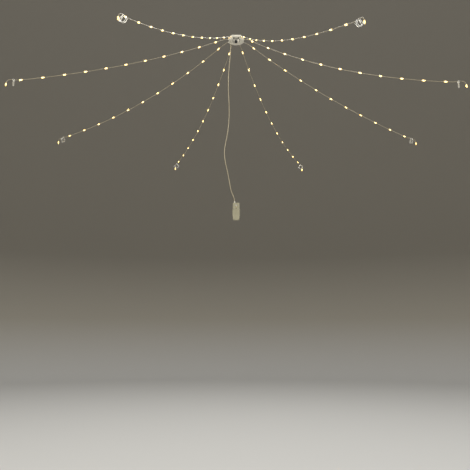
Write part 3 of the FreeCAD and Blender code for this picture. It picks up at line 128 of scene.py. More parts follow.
# The lead's route from the hub down to the battery case
LEAD_ROUTE = (
    (-0.0327, 0.0000, -0.0073),
    (-0.0327, 0.0000, -0.0325),
    (-0.0340, 0.0003, -0.0760),
    (-0.0375, 0.0008, -0.1240),
    (-0.0425, 0.0010, -0.1760),
    (-0.0465, 0.0010, -0.2300),
    (-0.0480, 0.0008, -0.2860),
    (-0.0460, 0.0005, -0.3420),
    (-0.0430, 0.0002, -0.3960),
    (-0.0415, 0.0001, -0.4480),
    (-0.0425, -0.0003, -0.5000),
    (-0.0460, -0.0015, -0.5500),
    (-0.0525, -0.0045, -0.6000),
    (-0.0615, -0.0090, -0.6480),
    (-0.0690, -0.0140, -0.6940),
    (-0.0695, -0.0190, -0.7380),
    (-0.0625, -0.0240, -0.7820),
    (-0.0525, -0.0280, -0.8280),
    (-0.0430, -0.0315, -0.8760),
    (-0.0350, -0.0340, -0.9220),
    (-0.0285, -0.0353, -0.9560),
    (-0.0175, -0.0360, -0.9795),
    (-0.0090, -0.0360, -1.0055),
    (-0.0090, -0.0360, -1.0305),
)

# The hub's raised trim line and its gate's grip ribs
TRIM_LEVEL = -0.0014
TRIM_START = -45.0
TRIM_TURN = 270.0
GATE_RIB_COUNT = 6
GATE_RIB_INSET = 0.0016
GATE_RIB_PITCH = 0.0020
GATE_RIB_LENGTH = 0.0082
GATE_RIB_SOFT_SHARE = 0.6

# Ribs round the strain reliefs' tapered noses
RELIEF_RIB = 0.0004
GROMMET_RIB_COUNT = 4
GROMMET_RIB_START = 0.0026
GROMMET_RIB_PITCH = 0.0016
GROMMET_RIB_RADIUS = 0.0027
GLAND_RIB_COUNT = 5
GLAND_RIB_START = 0.0032
GLAND_RIB_PITCH = 0.0022
GLAND_RIB_RADIUS = 0.0035
RIB_TAPER = 0.00024

# Thumb ribs on the clip rings' snap fingers
SNAP_FACE = -0.0183
SNAP_RIB_SIZE = (0.0078, 0.0006, 0.0008)
SNAP_RIB_SOFTNESS = 0.0001
SNAP_RIB_LEVELS = (-0.0030, -0.0010, 0.0010)

# Details on the battery case's front
BUTTON_RING_RADIUS = 0.0058
BUTTON_RING_SECTION = 0.0006
INDICATOR_RADIUS = 0.0011
INDICATOR_DROP = 0.0094
INDICATOR_STEPS = (16, 10)
LID_RIB_DROPS = (0.0107, 0.0135)
LID_RIB_LENGTH = 0.0110
LID_RIB_WIDTH = 0.0009
LID_RIB_SOFT_SHARE = 0.4

# Hoops with a radius over this one get a step every few degrees, and smaller ones a fixed count
SMALL_HOOP = 0.02
SMALL_HOOP_STEPS = 24
HOOP_STEP_DEGREES = 5.0
HOOP_SIDES = 8

# Bends over this angle stay sharp, and every fine relief in a material has this strength
SHARP_DEGREES = 40.0
BUMP_STRENGTH = 0.4

# The lamps' clear plastic, a bead's light at its middle and its share at the ends, and the glow of the
# lenses and the bare chips beside the beads' glow
BEAD_TINT = (1.0, 0.90, 0.66)
BEAD_CLARITY = 0.70
BEAD_CORE = (1.0, 0.84, 0.46)
BEAD_END_GLOW = 0.12
LENS_GLOW_SHARE = 0.7
CHIP_GLOW_SHARE = 18.0
RING_TINT = (0.96, 0.93, 0.84)
RING_CLARITY = 0.78

# The studio's round floor and backdrop
BOWL_RADIUS = 9.0
BOWL_HEIGHT = 8.0
BOWL_CURVE = 2.4
BOWL_CURVE_STEPS = 24
BOWL_STEPS = 96
BACKDROP_RISE = 2.2

# The soft lamps: name, place, aim, side, share of the main lamp's power, and colour
LAMPS = (
    ("main_lamp", (-2.6, -3.6, 1.8), (0.0, 0.0, -0.4), 2.4, 1.0, (1.0, 0.98, 0.94)),
    ("fill_lamp", (3.2, -3.0, 0.2), (0.0, 0.0, -0.5), 2.4, 0.5, (0.95, 0.97, 1.0)),
    ("top_lamp", (0.4, 1.6, 2.6), (0.0, 0.2, -0.4), 2.0, 0.5, (1.0, 1.0, 1.0)),
)

# The camera, in metres and degrees, with its lens in millimetres
CAMERA_PLACE = (-0.00685, -3.657, -1.772)
CAMERA_TILT = 98.794
CAMERA_LENS = 48.68
CAMERA_SENSOR = 36.0
CAMERA_REACH = 60.0


class StrandSettings(bpy.types.PropertyGroup):
    """Sizes and colours of the strands and their lamps."""
    cord_diameter: bpy.props.FloatProperty(
        name="Strand cord", description="Diameter of each strand's cord", default=0.0022, min=0.001,
        max=0.005, unit="LENGTH")
    lead_diameter: bpy.props.FloatProperty(
        name="Lead", description="Diameter of the lead to the battery case", default=0.0032, min=0.002,
        max=0.006, unit="LENGTH")
    glow: bpy.props.FloatProperty(
        name="Glow", description="Strength of the lit beads", default=1.1, min=0.0, max=60.0)
    glow_colour: bpy.props.FloatVectorProperty(
        name="Glow colour", description="Colour of the lit beads", default=(1.0, 0.69, 0.24), size=3,
        min=0.0, max=1.0, subtype="COLOR")
    cord_colour: bpy.props.FloatVectorProperty(
        name="Cord colour", description="Colour of the clear cords", default=(0.62, 0.53, 0.34), size=3,
        min=0.0, max=1.0, subtype="COLOR")


class HousingSettings(bpy.types.PropertyGroup):
    """Colours of the hub, the rings and the battery case."""
    hub_colour: bpy.props.FloatVectorProperty(
        name="Hub colour", description="Colour of the hub's plastic", default=(0.80, 0.76, 0.64), size=3,
        min=0.0, max=1.0, subtype="COLOR")
    case_colour: bpy.props.FloatVectorProperty(
        name="Case colour", description="Colour of the battery case", default=(0.40, 0.37, 0.25), size=3,
        min=0.0, max=1.0, subtype="COLOR")
    trim_width: bpy.props.FloatProperty(
        name="Trim width", description="Width of the hub's raised trim line", default=0.0012, min=0.0005,
        max=0.003, unit="LENGTH")
    rib_height: bpy.props.FloatProperty(
        name="Rib height", description="Height of the grip ribs", default=0.0005, min=0.0002, max=0.001,
        unit="LENGTH")


class StageSettings(bpy.types.PropertyGroup):
    """The floor, the backdrop and the studio lamps."""
    floor_level: bpy.props.FloatProperty(
        name="Floor level", description="Height of the floor below the hub", default=-2.49, min=-4.0,
        max=-1.5, unit="LENGTH")
    floor_colour: bpy.props.FloatVectorProperty(
        name="Floor colour", description="Colour of the pale floor", default=(0.62, 0.61, 0.58), size=3,
        min=0.0, max=1.0, subtype="COLOR")
    backdrop_colour: bpy.props.FloatVectorProperty(
        name="Backdrop colour", description="Colour of the backdrop above the floor",
        default=(0.27, 0.25, 0.21), size=3, min=0.0, max=1.0, subtype="COLOR")
    lamp_power: bpy.props.FloatProperty(
        name="Lamp power", description="Power of the main soft lamp", default=140.0, min=0.0, max=2000.0,
        unit="POWER")
    world_level: bpy.props.FloatProperty(
        name="World level", description="Strength of the even light all round", default=0.64, min=0.0,
        max=2.0)


def new_material(name):
    """An empty node material with its surface shader and output."""
    material = bpy.data.materials.new(name)
    material.use_nodes = True
    nodes = material.node_tree.nodes
    nodes.clear()
    shader = nodes.new("ShaderNodeBsdfPrincipled")
    output = nodes.new("ShaderNodeOutputMaterial")
    output.location = (300, 0)
    material.node_tree.links.new(shader.outputs["BSDF"], output.inputs["Surface"])
    return material, shader


def add_node(material, kind, **settings):
    """One more node, with its attributes set."""
    node = material.node_tree.nodes.new(kind)
    for key, value in settings.items():
        setattr(node, key, value)
    return node


def link(material, source, target):
    """A link between two sockets."""
    material.node_tree.links.new(source, target)


def object_coordinates(material, stretch=(1.0, 1.0, 1.0)):
    """The piece's own coordinates, stretched."""
    place = add_node(material, "ShaderNodeTexCoord")
    mapping = add_node(material, "ShaderNodeMapping")
    mapping.inputs["Scale"].default_value = stretch
    link(material, place.outputs["Object"], mapping.inputs["Vector"])
    return mapping.outputs["Vector"]


def noise(material, vector, scale, detail=3.0):
    """Noise at a scale per metre."""
    texture = add_node(material, "ShaderNodeTexNoise")
    texture.inputs["Scale"].default_value = scale
    texture.inputs["Detail"].default_value = detail
    link(material, vector, texture.inputs["Vector"])
    return texture.outputs["Fac"]


def ramp(material, factor, stops):
    """A colour ramp between stops of place and colour."""
    node = add_node(material, "ShaderNodeValToRGB")
    elements = node.color_ramp.elements
    elements[0].position, elements[1].position = stops[0][0], stops[-1][0]
    elements[0].color = (*stops[0][1], 1.0)
    elements[1].color = (*stops[-1][1], 1.0)
    for place, colour in stops[1:-1]:
        element = elements.new(place)
        element.color = (*colour, 1.0)
    link(material, factor, node.inputs["Fac"])
    return node.outputs["Color"]


def calculate(material, operation, first, second):
    """A number worked out from a socket and a second socket or plain number."""
    node = add_node(material, "ShaderNodeMath", operation=operation)
    link(material, first, node.inputs[0])
    if isinstance(second, float):
        node.inputs[1].default_value = second
    else:
        link(material, second, node.inputs[1])
    return node.outputs["Value"]


def spread(material, factor, low, high):
    """A number that varies between two values with a pattern."""
    node = add_node(material, "ShaderNodeMapRange")
    node.inputs["To Min"].default_value = low
    node.inputs["To Max"].default_value = high
    link(material, factor, node.inputs["Value"])
    return node.outputs["Result"]


def height_share(material, vector, low, high):
    """How far up a place lies between two levels, from 0 to 1."""
    split = add_node(material, "ShaderNodeSeparateXYZ")
    link(material, vector, split.inputs["Vector"])
    share = add_node(material, "ShaderNodeMapRange")
    share.inputs["From Min"].default_value = low
    share.inputs["From Max"].default_value = high
    link(material, split.outputs["Z"], share.inputs["Value"])
    return share.outputs["Result"]


def add_bump(material, shader, height, distance):
    """A fine relief on the surface."""
    bump = add_node(material, "ShaderNodeBump")
    bump.inputs["Strength"].default_value = BUMP_STRENGTH
    bump.inputs["Distance"].default_value = distance
    link(material, height, bump.inputs["Height"])
    link(material, bump.outputs["Normal"], shader.inputs["Normal"])


def toned(colour, factor):
    """A colour made lighter or darker."""
    return tuple(min(1.0, channel * factor) for channel in colour)


def moulded_plastic(name, colour, gloss=0.38, grain=2600.0, relief=0.00004):
    """Moulded plastic with a fine spark-eroded grain and slight flow marks."""
    material, shader = new_material(name)
    vector = object_coordinates(material)
    flow = noise(material, vector, scale=38.0)
    fine = noise(material, vector, scale=grain, detail=2.0)
    tone = ramp(material, flow, ((0.30, toned(colour, 0.92)), (0.52, colour), (0.75, toned(colour, 1.06))))
    link(material, tone, shader.inputs["Base Color"])
    link(material, spread(material, fine, low=gloss - 0.06, high=gloss + 0.10), shader.inputs["Roughness"])
    add_bump(material, shader, fine, relief)
    return material


def soft_rubber(name, colour):
    """Matt rubber with a dusty bloom."""
    material, shader = new_material(name)
    vector = object_coordinates(material)
    bloom = noise(material, vector, scale=120.0, detail=5.0)
    fine = noise(material, vector, scale=4200.0, detail=2.0)
    tone = ramp(material, bloom, ((0.35, toned(colour, 0.85)), (0.7, toned(colour, 1.18))))
    link(material, tone, shader.inputs["Base Color"])
    link(material, spread(material, bloom, low=0.62, high=0.82), shader.inputs["Roughness"])
    add_bump(material, shader, fine, distance=0.00006)
    return material


def drawn_steel(name, stretch):
    """Steel with fine lines along one direction."""
    material, shader = new_material(name)
    vector = object_coordinates(material, stretch)
    lines = noise(material, vector, scale=900.0, detail=4.0)
    tone = ramp(material, lines, ((0.3, (0.52, 0.53, 0.55)), (0.7, (0.74, 0.75, 0.77))))
    link(material, tone, shader.inputs["Base Color"])
    link(material, spread(material, lines, low=0.22, high=0.42), shader.inputs["Roughness"])
    shader.inputs["Metallic"].default_value = 1.0
    add_bump(material, shader, lines, distance=0.00002)
    return material


def clear_cord(name, colour):
    """Clear cord with the wires' warm metal showing through as fine twisted lines."""
    material, shader = new_material(name)
    vector = object_coordinates(material)
    twist = add_node(material, "ShaderNodeTexWave", wave_type="BANDS", bands_direction="DIAGONAL")
    twist.inputs["Scale"].default_value = 240.0
    twist.inputs["Distortion"].default_value = 1.5
    link(material, vector, twist.inputs["Vector"])
    lines = twist.outputs["Fac"]
    tone = ramp(material, lines, ((0.2, toned(colour, 0.72)), (0.8, toned(colour, 1.25))))
    link(material, tone, shader.inputs["Base Color"])
    link(material, spread(material, lines, low=0.18, high=0.34), shader.inputs["Roughness"])
    shader.inputs["Transmission Weight"].default_value = 0.25
    shader.inputs["Coat Weight"].default_value = 0.5
    shader.inputs["Coat Roughness"].default_value = 0.12
    return material


def clear_plastic(name, colour, transmission):
    """Clear moulded plastic, faintly cloudy inside."""
    material, shader = new_material(name)
    vector = object_coordinates(material)
    cloud = noise(material, vector, scale=160.0, detail=4.0)
    tone = ramp(material, cloud, ((0.3, toned(colour, 0.93)), (0.7, colour)))
    link(material, tone, shader.inputs["Base Color"])
    link(material, spread(material, cloud, low=0.08, high=0.24), shader.inputs["Roughness"])
    shader.inputs["Transmission Weight"].default_value = transmission
    shader.inputs["IOR"].default_value = 1.49
    return material


def lit_plastic(name, glow_colour, glow):
    """The lamps' clear plastic, lit all over by the lamp inside."""
    material = clear_plastic(name, BEAD_TINT, BEAD_CLARITY)
    add_glow(material, glow_colour, glow)
    return material


def bead_share(material, first_reach, end_middle):
    """How far a place lies from its bead's middle, where 1 is the bead's end."""
    reach = add_node(material, "ShaderNodeVectorMath", operation="LENGTH")
    link(material, object_coordinates(material, (1.0, 1.0, 0.0)), reach.inputs[0])
    beyond = calculate(material, "SUBTRACT", reach.outputs["Value"], first_reach)
    on_run = calculate(material, "MINIMUM", beyond, BEAD_PITCH * (BEADS_ON_RUN - 0.5))
    along = calculate(material, "PINGPONG", on_run, BEAD_PITCH / 2)
    end = add_node(material, "ShaderNodeVectorMath", operation="DISTANCE")
    end.inputs[1].default_value = end_middle
    link(material, object_coordinates(material), end.inputs[0])
    nearest = calculate(material, "MINIMUM", along, end.outputs["Value"])
    return calculate(material, "DIVIDE", nearest, BEAD_HALF)


def lit_bead(number, glow_colour, glow):
    """Clear plastic of one strand's beads, brightest round the lamp at each bead's middle."""
    azimuth, _, _, drop, _ = STRANDS[number]
    out, down = END_BEAD_STEP
    end_middle = turned_point(azimuth, BOSS_END_REACH + out, 0.0, EXIT_LEVEL - drop + down)
    material = lit_plastic("lit_bead_" + str(number + 1), glow_colour, glow)
    share = bead_share(material, FIRST_BEAD_REACHES[number], end_middle)
    tone = ramp(material, share, ((0.05, BEAD_CORE), (0.45, glow_colour),
                                  (0.95, toned(glow_colour, BEAD_END_GLOW))))
    link(material, tone, material.node_tree.nodes["Principled BSDF"].inputs["Emission Color"])
    return material


def add_glow(material, glow_colour, glow):
    """Light that a surface gives off."""
    shader = material.node_tree.nodes["Principled BSDF"]
    shader.inputs["Emission Color"].default_value = (*glow_colour, 1.0)
    shader.inputs["Emission Strength"].default_value = glow


def lamp_phosphor(name, glow_colour, glow):
    """The lit yellow face of a lamp chip."""
    material, shader = new_material(name)
    vector = object_coordinates(material)
    speck = noise(material, vector, scale=1800.0)
    tone = ramp(material, speck, ((0.3, (0.95, 0.66, 0.20)), (0.7, (1.0, 0.84, 0.42))))
    link(material, tone, shader.inputs["Base Color"])
    link(material, spread(material, speck, low=0.3, high=0.5), shader.inputs["Roughness"])
    add_glow(material, glow_colour, glow)
    return material


def board_lacquer(name):
    """Green circuit board with paler tracks under its lacquer."""
    material, shader = new_material(name)
    vector = object_coordinates(material)
    tracks = add_node(material, "ShaderNodeTexBrick")
    tracks.inputs["Scale"].default_value = 260.0
    tracks.inputs["Color1"].default_value = (0.020, 0.115, 0.045, 1.0)
    tracks.inputs["Color2"].default_value = (0.026, 0.140, 0.055, 1.0)
    tracks.inputs["Mortar"].default_value = (0.060, 0.230, 0.100, 1.0)
    tracks.inputs["Mortar Size"].default_value = 0.035
    link(material, vector, tracks.inputs["Vector"])
    link(material, tracks.outputs["Color"], shader.inputs["Base Color"])
    speck = noise(material, vector, scale=900.0)
    link(material, spread(material, speck, low=0.22, high=0.40), shader.inputs["Roughness"])
    add_bump(material, shader, tracks.outputs["Fac"], distance=0.00005)
    return material


def cell_wrap(name):
    """The plain slate foil wrap of a battery cell, with a pale band near its top and bare metal ends."""
    material, shader = new_material(name)
    vector = object_coordinates(material)
    low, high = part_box("battery_cells")
    bare = (0.60, 0.60, 0.61)
    slate = (0.100, 0.125, 0.165)
    pale = (0.46, 0.49, 0.52)
    tone = ramp(material, height_share(material, vector, low.z, high.z), (
        (0.0, bare), (0.02, slate), (0.84, slate), (0.845, pale), (0.90, pale), (0.905, slate),
        (0.965, slate), (0.98, bare)))
    link(material, tone, shader.inputs["Base Color"])
    scuff = noise(material, vector, scale=260.0, detail=5.0)
    link(material, spread(material, scuff, low=0.18, high=0.40), shader.inputs["Roughness"])
    shader.inputs["Metallic"].default_value = 0.6
    return material


def floor_finish(name, floor_colour, backdrop_colour, floor_level):
    """Pale floor that darkens to the backdrop's colour as it rises behind the object."""
    material, shader = new_material(name)
    vector = object_coordinates(material)
    rise = height_share(material, vector, floor_level, floor_level + BACKDROP_RISE)
    tone = ramp(material, rise, ((0.0, floor_colour), (0.45, toned(backdrop_colour, 1.5)),
                                 (1.0, backdrop_colour)))
    link(material, tone, shader.inputs["Base Color"])
    mottle = noise(material, vector, scale=3.0, detail=4.0)
    link(material, spread(material, mottle, low=0.85, high=0.95), shader.inputs["Roughness"])
    shader.inputs["Specular IOR Level"].default_value = 0.15
    return material


def dress(nodes, material):
    """CAD nodes given one material."""
    for name in nodes:
        mesh = frame["nodes"][name].data
        mesh.materials.clear()
        mesh.materials.append(material)


def numbered(stem):
    """The names of the eight nodes of a kind."""
    return [stem + "_" + str(number + 1) for number in range(len(STRANDS))]


def add_hoop(shape, centre, axis, radius, section, turn=360.0, start=0.0):
    """A round ring, or a stretch of one, about an axis through a point."""
    before = set(shape.verts)
    lay = Matrix.Translation((radius, 0.0, 0.0)) @ Matrix.Rotation(math.radians(90.0), 4, "X")
    ring = bmesh.ops.create_circle(shape, cap_ends=False, radius=section, segments=HOOP_SIDES,
                                   matrix=Matrix.Rotation(math.radians(start), 4, "Z") @ lay)
    loop = ring["verts"] + list({edge for vert in ring["verts"] for edge in vert.link_edges})
    steps = round(turn / HOOP_STEP_DEGREES) if radius > SMALL_HOOP else SMALL_HOOP_STEPS
    bmesh.ops.spin(shape, geom=loop, cent=(0.0, 0.0, 0.0), axis=(0.0, 0.0, 1.0), dvec=(0.0, 0.0, 0.0),
                   angle=math.radians(turn), steps=steps, use_merge=turn >= 360.0)
    if turn < 360.0:
        bmesh.ops.holes_fill(shape, edges=[edge for edge in shape.edges if edge.is_boundary],
                             sides=HOOP_SIDES)
    made = [vert for vert in shape.verts if vert not in before]
    lean = Vector((0.0, 0.0, 1.0)).rotation_difference(Vector(axis)).to_matrix().to_4x4()
    bmesh.ops.transform(shape, verts=made, matrix=Matrix.Translation(centre) @ lean)


def add_rib(shape, centre, size, softness):
    """A small bar with softened edges."""
    place = Matrix.Translation(centre) @ Matrix.Diagonal((*size, 1.0))
    bar = bmesh.ops.create_cube(shape, size=1.0, matrix=place)
    edges = list({edge for vert in bar["verts"] for edge in vert.link_edges})
    bmesh.ops.bevel(shape, geom=edges, offset=softness, offset_type="OFFSET", affect="EDGES", segments=2,
                    profile=0.5, material=-1)


def mesh_piece(name, shape, material, body):
    """Turn a finished bmesh into a piece that rides on a CAD body."""
    bmesh.ops.recalc_face_normals(shape, faces=shape.faces)
    mesh = bpy.data.meshes.new(name)
    shape.to_mesh(mesh)
    shape.free()
    for polygon in mesh.polygons:
        polygon.use_smooth = True
    mesh.set_sharp_from_angle(angle=math.radians(SHARP_DEGREES))
    mesh.materials.append(material)
    piece = bpy.data.objects.new(name, mesh)
    bpy.context.scene.collection.objects.link(piece)
    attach(piece, body)


def cord_piece(name, points, diameter, material):
    """A cord as one smooth curve on its route's points."""
    curve = bpy.data.curves.new(name, "CURVE")
    curve.dimensions = "3D"
    curve.bevel_depth = diameter / 2
    curve.bevel_resolution = CORD_QUARTER_STEPS
    curve.resolution_u = CORD_STEPS
    curve.use_fill_caps = True
    spline = curve.splines.new("NURBS")
    spline.points.add(len(points) - 1)
    for place, point in zip(spline.points, points):
        place.co = (*point, 1.0)
    spline.order_u = CORD_ORDER
    spline.use_endpoint_u = True
    curve.materials.append(material)
    piece = bpy.data.objects.new(name, curve)
    bpy.context.scene.collection.objects.link(piece)
    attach(piece, "hub")
    return piece


def box_middle(node):
    """The middle of a CAD node's box."""
    low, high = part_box(node)
    return (low + high) / 2


def turned_point(azimuth, reach, sideways, level):
    """A point at a reach along an azimuth in degrees and a distance to its left."""
    return Matrix.Rotation(math.radians(azimuth), 3, "Z") @ Vector((reach, sideways, level))


def strand_points(azimuth, sag, bow, drop, exit_azimuth):
    """The route of one strand's cord, from inside its grommet to the end bead."""
    away = math.radians(exit_azimuth - azimuth)
    side_start = ROUTE_START_REACH * math.sin(away)
    points = [turned_point(exit_azimuth, CORD_START_REACH, 0.0, EXIT_LEVEL)]
    for out_share, drop_share, sag_share, side_share in STRAND_ROUTE_SHARES:
        reach = ROUTE_START_REACH + (ROUTE_END_REACH - ROUTE_START_REACH) * out_share
        if out_share == 0:
            reach = ROUTE_START_REACH * math.cos(away)
        sideways = bow * sag_share + side_start * side_share
        level = EXIT_LEVEL - drop * drop_share - sag * sag_share
        points.append(turned_point(azimuth, reach, sideways, level))
    for out, down in TAIL_STEPS:
        points.append(turned_point(azimuth, BOSS_END_REACH + out, 0.0, EXIT_LEVEL - drop + down))
    return points


class STRINGLIGHTS_OT_strands(bpy.types.Operator):
    """Make the eight strands' cords"""
    bl_idname = "stringlights.strands"
    bl_label = "Strand cords"

    def execute(self, context):
        settings = context.scene.string_light_strands
        material = clear_cord("strand_cord", settings.cord_colour)
        for number, row in enumerate(STRANDS):
            label = str(number + 1)
            points = strand_points(*row)
            piece = cord_piece("strand_line_" + label, points, settings.cord_diameter, material)
            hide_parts("strand_" + label)
        return {"FINISHED"}


class STRINGLIGHTS_OT_lead(bpy.types.Operator):
    """Make the lead from the hub to the battery case"""
    bl_idname = "stringlights.lead"
    bl_label = "Lead"

    def execute(self, context):
        settings = context.scene.string_light_strands
        material = moulded_plastic("lead_jacket", settings.cord_colour, gloss=0.30, grain=1800.0)
        points = [Vector(point) for point in LEAD_ROUTE]
        piece = cord_piece("lead_line", points, settings.lead_diameter, material)
        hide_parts("lead")
        return {"FINISHED"}


class STRINGLIGHTS_OT_beads(bpy.types.Operator):
    """Give the beads and their lamp chips their lit finish"""
    bl_idname = "stringlights.beads"
    bl_label = "Beads and lamps"

    def execute(self, context):
        settings = context.scene.string_light_strands
        colour = settings.glow_colour
        lens = lit_plastic("lit_lens", colour, settings.glow * LENS_GLOW_SHARE)
        chip = lamp_phosphor("lamp_phosphor", colour, settings.glow * CHIP_GLOW_SHARE)
        for number, node in enumerate(numbered("beads")):
            dress([node], lit_bead(number, colour, settings.glow))
        dress(["rim_lenses"], lens)
        dress(["lamp_chips", "rim_chips"], chip)
        return {"FINISHED"}


def hub_radius():
    """The hub's outer radius."""
    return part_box("hub_cover")[1].x


def hub_trim(width, material):
    """The raised line round the hub between its cords and its lenses, open at the mouth."""
    shape = bmesh.new()
    add_hoop(shape, (0.0, 0.0, TRIM_LEVEL), UP, hub_radius(), width / 2, turn=TRIM_TURN, start=TRIM_START)
    mesh_piece("hub_trim", shape, material, "hub")


def gate_ribs(height, material):
    """Upright grip ribs on the free end of the hub's gate."""
    low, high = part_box("hub_gate")
    shape = bmesh.new()
    for step in range(GATE_RIB_COUNT):
        centre = (low.x + GATE_RIB_INSET + GATE_RIB_PITCH * step, low.y, (low.z + high.z) / 2)
        add_rib(shape, centre, (GATE_RIB_PITCH / 2, height * 2, GATE_RIB_LENGTH),
                height * GATE_RIB_SOFT_SHARE)
    mesh_piece("gate_ribs", shape, material, "hub_gate")


def relief_ribs(material):
    """Ribs round the tapered noses of the cords' and the lead's strain reliefs."""
    shape = bmesh.new()
    for *_, exit_azimuth in STRANDS:
        outward = turned_point(exit_azimuth, 1.0, 0.0, 0.0)
        root = outward * (hub_radius() + GROMMET_RIB_START) + UP * EXIT_LEVEL
        for step in range(GROMMET_RIB_COUNT):
            centre = root + outward * (GROMMET_RIB_PITCH * step)
            add_hoop(shape, centre, outward, GROMMET_RIB_RADIUS - RIB_TAPER * step, RELIEF_RIB)
    hub_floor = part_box("hub_body")[0].z
    case_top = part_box("case_body")[1].z
    for node, level, way in (("lead_collar", hub_floor, -UP), ("case_gland", case_top, UP)):
        middle = box_middle(node)
        root = Vector((middle.x, middle.y, level)) + way * GLAND_RIB_START
        for step in range(GLAND_RIB_COUNT):
            centre = root + way * (GLAND_RIB_PITCH * step)
            add_hoop(shape, centre, UP, GLAND_RIB_RADIUS - RIB_TAPER * step, RELIEF_RIB)
    mesh_piece("relief_ribs", shape, material, "hub")


class STRINGLIGHTS_OT_hub(bpy.types.Operator):
    """Finish the hub and add its trim line, grip ribs and ribbed strain reliefs"""
    bl_idname = "stringlights.hub"
    bl_label = "Hub"

    def execute(self, context):
        settings = context.scene.string_light_housing
        shell = moulded_plastic("hub_plastic", settings.hub_colour)
        rubber = soft_rubber("pad_rubber", (0.035, 0.035, 0.038))
        relief = moulded_plastic("strain_relief", toned(settings.hub_colour, 0.95), gloss=0.5)
        dress(["hub_body", "hub_cover", "hub_gate"], shell)
        dress(["grip_pads", "gate_pad"], rubber)
        dress(["hub_circuit_board"], board_lacquer("hub_board_lacquer"))
        dress(["strand_grommets", "lead_collar", "case_gland"], relief)
        dress(["gate_pin", "housing_screws"], drawn_steel("pin_steel", (1.0, 1.0, 0.1)))
        hub_trim(settings.trim_width, shell)
        gate_ribs(settings.rib_height, shell)
        relief_ribs(relief)
        return {"FINISHED"}


def snap_ribs(number, material):
    """Three thumb ribs on the snap finger of one clip ring."""
    label = str(number + 1)
    shape = bmesh.new()
    for level in SNAP_RIB_LEVELS:
        add_rib(shape, (0.0, SNAP_FACE, level), SNAP_RIB_SIZE, SNAP_RIB_SOFTNESS)
    turn = Matrix.Rotation(math.radians(STRANDS[number][0]), 4, "Z")
    place = Matrix.Translation(MOUNTS["ring_" + label]["pos_m"]) @ turn
    bmesh.ops.transform(shape, verts=shape.verts, matrix=place)
    mesh_piece("snap_ribs_" + label, shape, material, "ring_gate_" + label)


class STRINGLIGHTS_OT_rings(bpy.types.Operator):
    """Finish the clip rings and add the thumb ribs on their snap fingers"""
    bl_idname = "stringlights.rings"
    bl_label = "Clip rings"

    def execute(self, context):
        ring = clear_plastic("clear_ring", RING_TINT, RING_CLARITY)
        dress(numbered("ring_base") + numbered("ring_gate"), ring)
        dress(["ring_pins"], drawn_steel("ring_pin_steel", (0.2, 0.2, 1.0)))
        for number in range(len(STRANDS)):
            snap_ribs(number, ring)
        return {"FINISHED"}


def on_case_front(drop):
    """A point on the case's front, a drop below the push button's middle."""
    return Vector((0.0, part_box("case_front")[0].y, box_middle("power_button").z - drop))


def button_ring(material):
    """The raised ring moulded round the push button."""
    shape = bmesh.new()
    add_hoop(shape, on_case_front(0.0), (0.0, 1.0, 0.0), BUTTON_RING_RADIUS, BUTTON_RING_SECTION)
    mesh_piece("button_ring", shape, material, "hub")


def indicator(material):
    """The small lit dome below the push button."""
    shape = bmesh.new()
    round_steps, height_steps = INDICATOR_STEPS
    bmesh.ops.create_uvsphere(shape, u_segments=round_steps, v_segments=height_steps, radius=INDICATOR_RADIUS,
                              matrix=Matrix.Translation(on_case_front(INDICATOR_DROP)))
    mesh_piece("indicator", shape, material, "hub")


def lid_ribs(height, material):
    """Two low ribs below the lid's thumb ridge."""
    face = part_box("case_front")[0].y
    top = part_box("case_lid")[1].z
    shape = bmesh.new()
    for drop in LID_RIB_DROPS:
        add_rib(shape, (0.0, face, top - drop), (LID_RIB_LENGTH, height * 2, LID_RIB_WIDTH),
                height * LID_RIB_SOFT_SHARE)
    mesh_piece("lid_ribs", shape, material, "case_lid")


class STRINGLIGHTS_OT_case(bpy.types.Operator):
    """Finish the battery case and add its button ring, indicator and lid ribs"""
    bl_idname = "stringlights.case"
    bl_label = "Battery case"

    def execute(self, context):
        settings = context.scene.string_light_housing
        strands = context.scene.string_light_strands
        shell = moulded_plastic("case_plastic", settings.case_colour, gloss=0.45, grain=1500.0,
                                relief=0.00008)
        dress(["case_body", "case_front", "case_lid", "post_clip"], shell)
        dress(["lid_seal"], soft_rubber("seal_rubber", (0.05, 0.05, 0.052)))
        dress(["power_button"], soft_rubber("button_rubber", (0.55, 0.53, 0.47)))
        dress(["receiver_window"], moulded_plastic("dark_window", (0.030, 0.012, 0.014), gloss=0.12))
        dress(["control_board"], board_lacquer("case_board_lacquer"))
        dress(["battery_cells"], cell_wrap("cell_wrap"))
        dress(["contact_springs", "contact_plates"], drawn_steel("contact_metal", (1.0, 1.0, 0.3)))
        dress(["lid_pin"], drawn_steel("lid_pin_steel", (0.1, 1.0, 1.0)))
        button_ring(shell)
        indicator(lamp_phosphor("indicator_lamp", strands.glow_colour, strands.glow))
        lid_ribs(settings.rib_height, shell)
        return {"FINISHED"}


def area_lamp(name, place, aim, side, power, colour):
    """A large square soft lamp that points at a place."""
    data = bpy.data.lights.new(name, "AREA")
    data.shape = "SQUARE"
    data.size = side
    data.energy = power
    data.color = colour
    lamp = bpy.data.objects.new(name, data)
    lamp.location = place
    lamp.rotation_euler = (Vector(aim) - Vector(place)).to_track_quat("-Z", "Y").to_euler()
    bpy.context.scene.collection.objects.link(lamp)


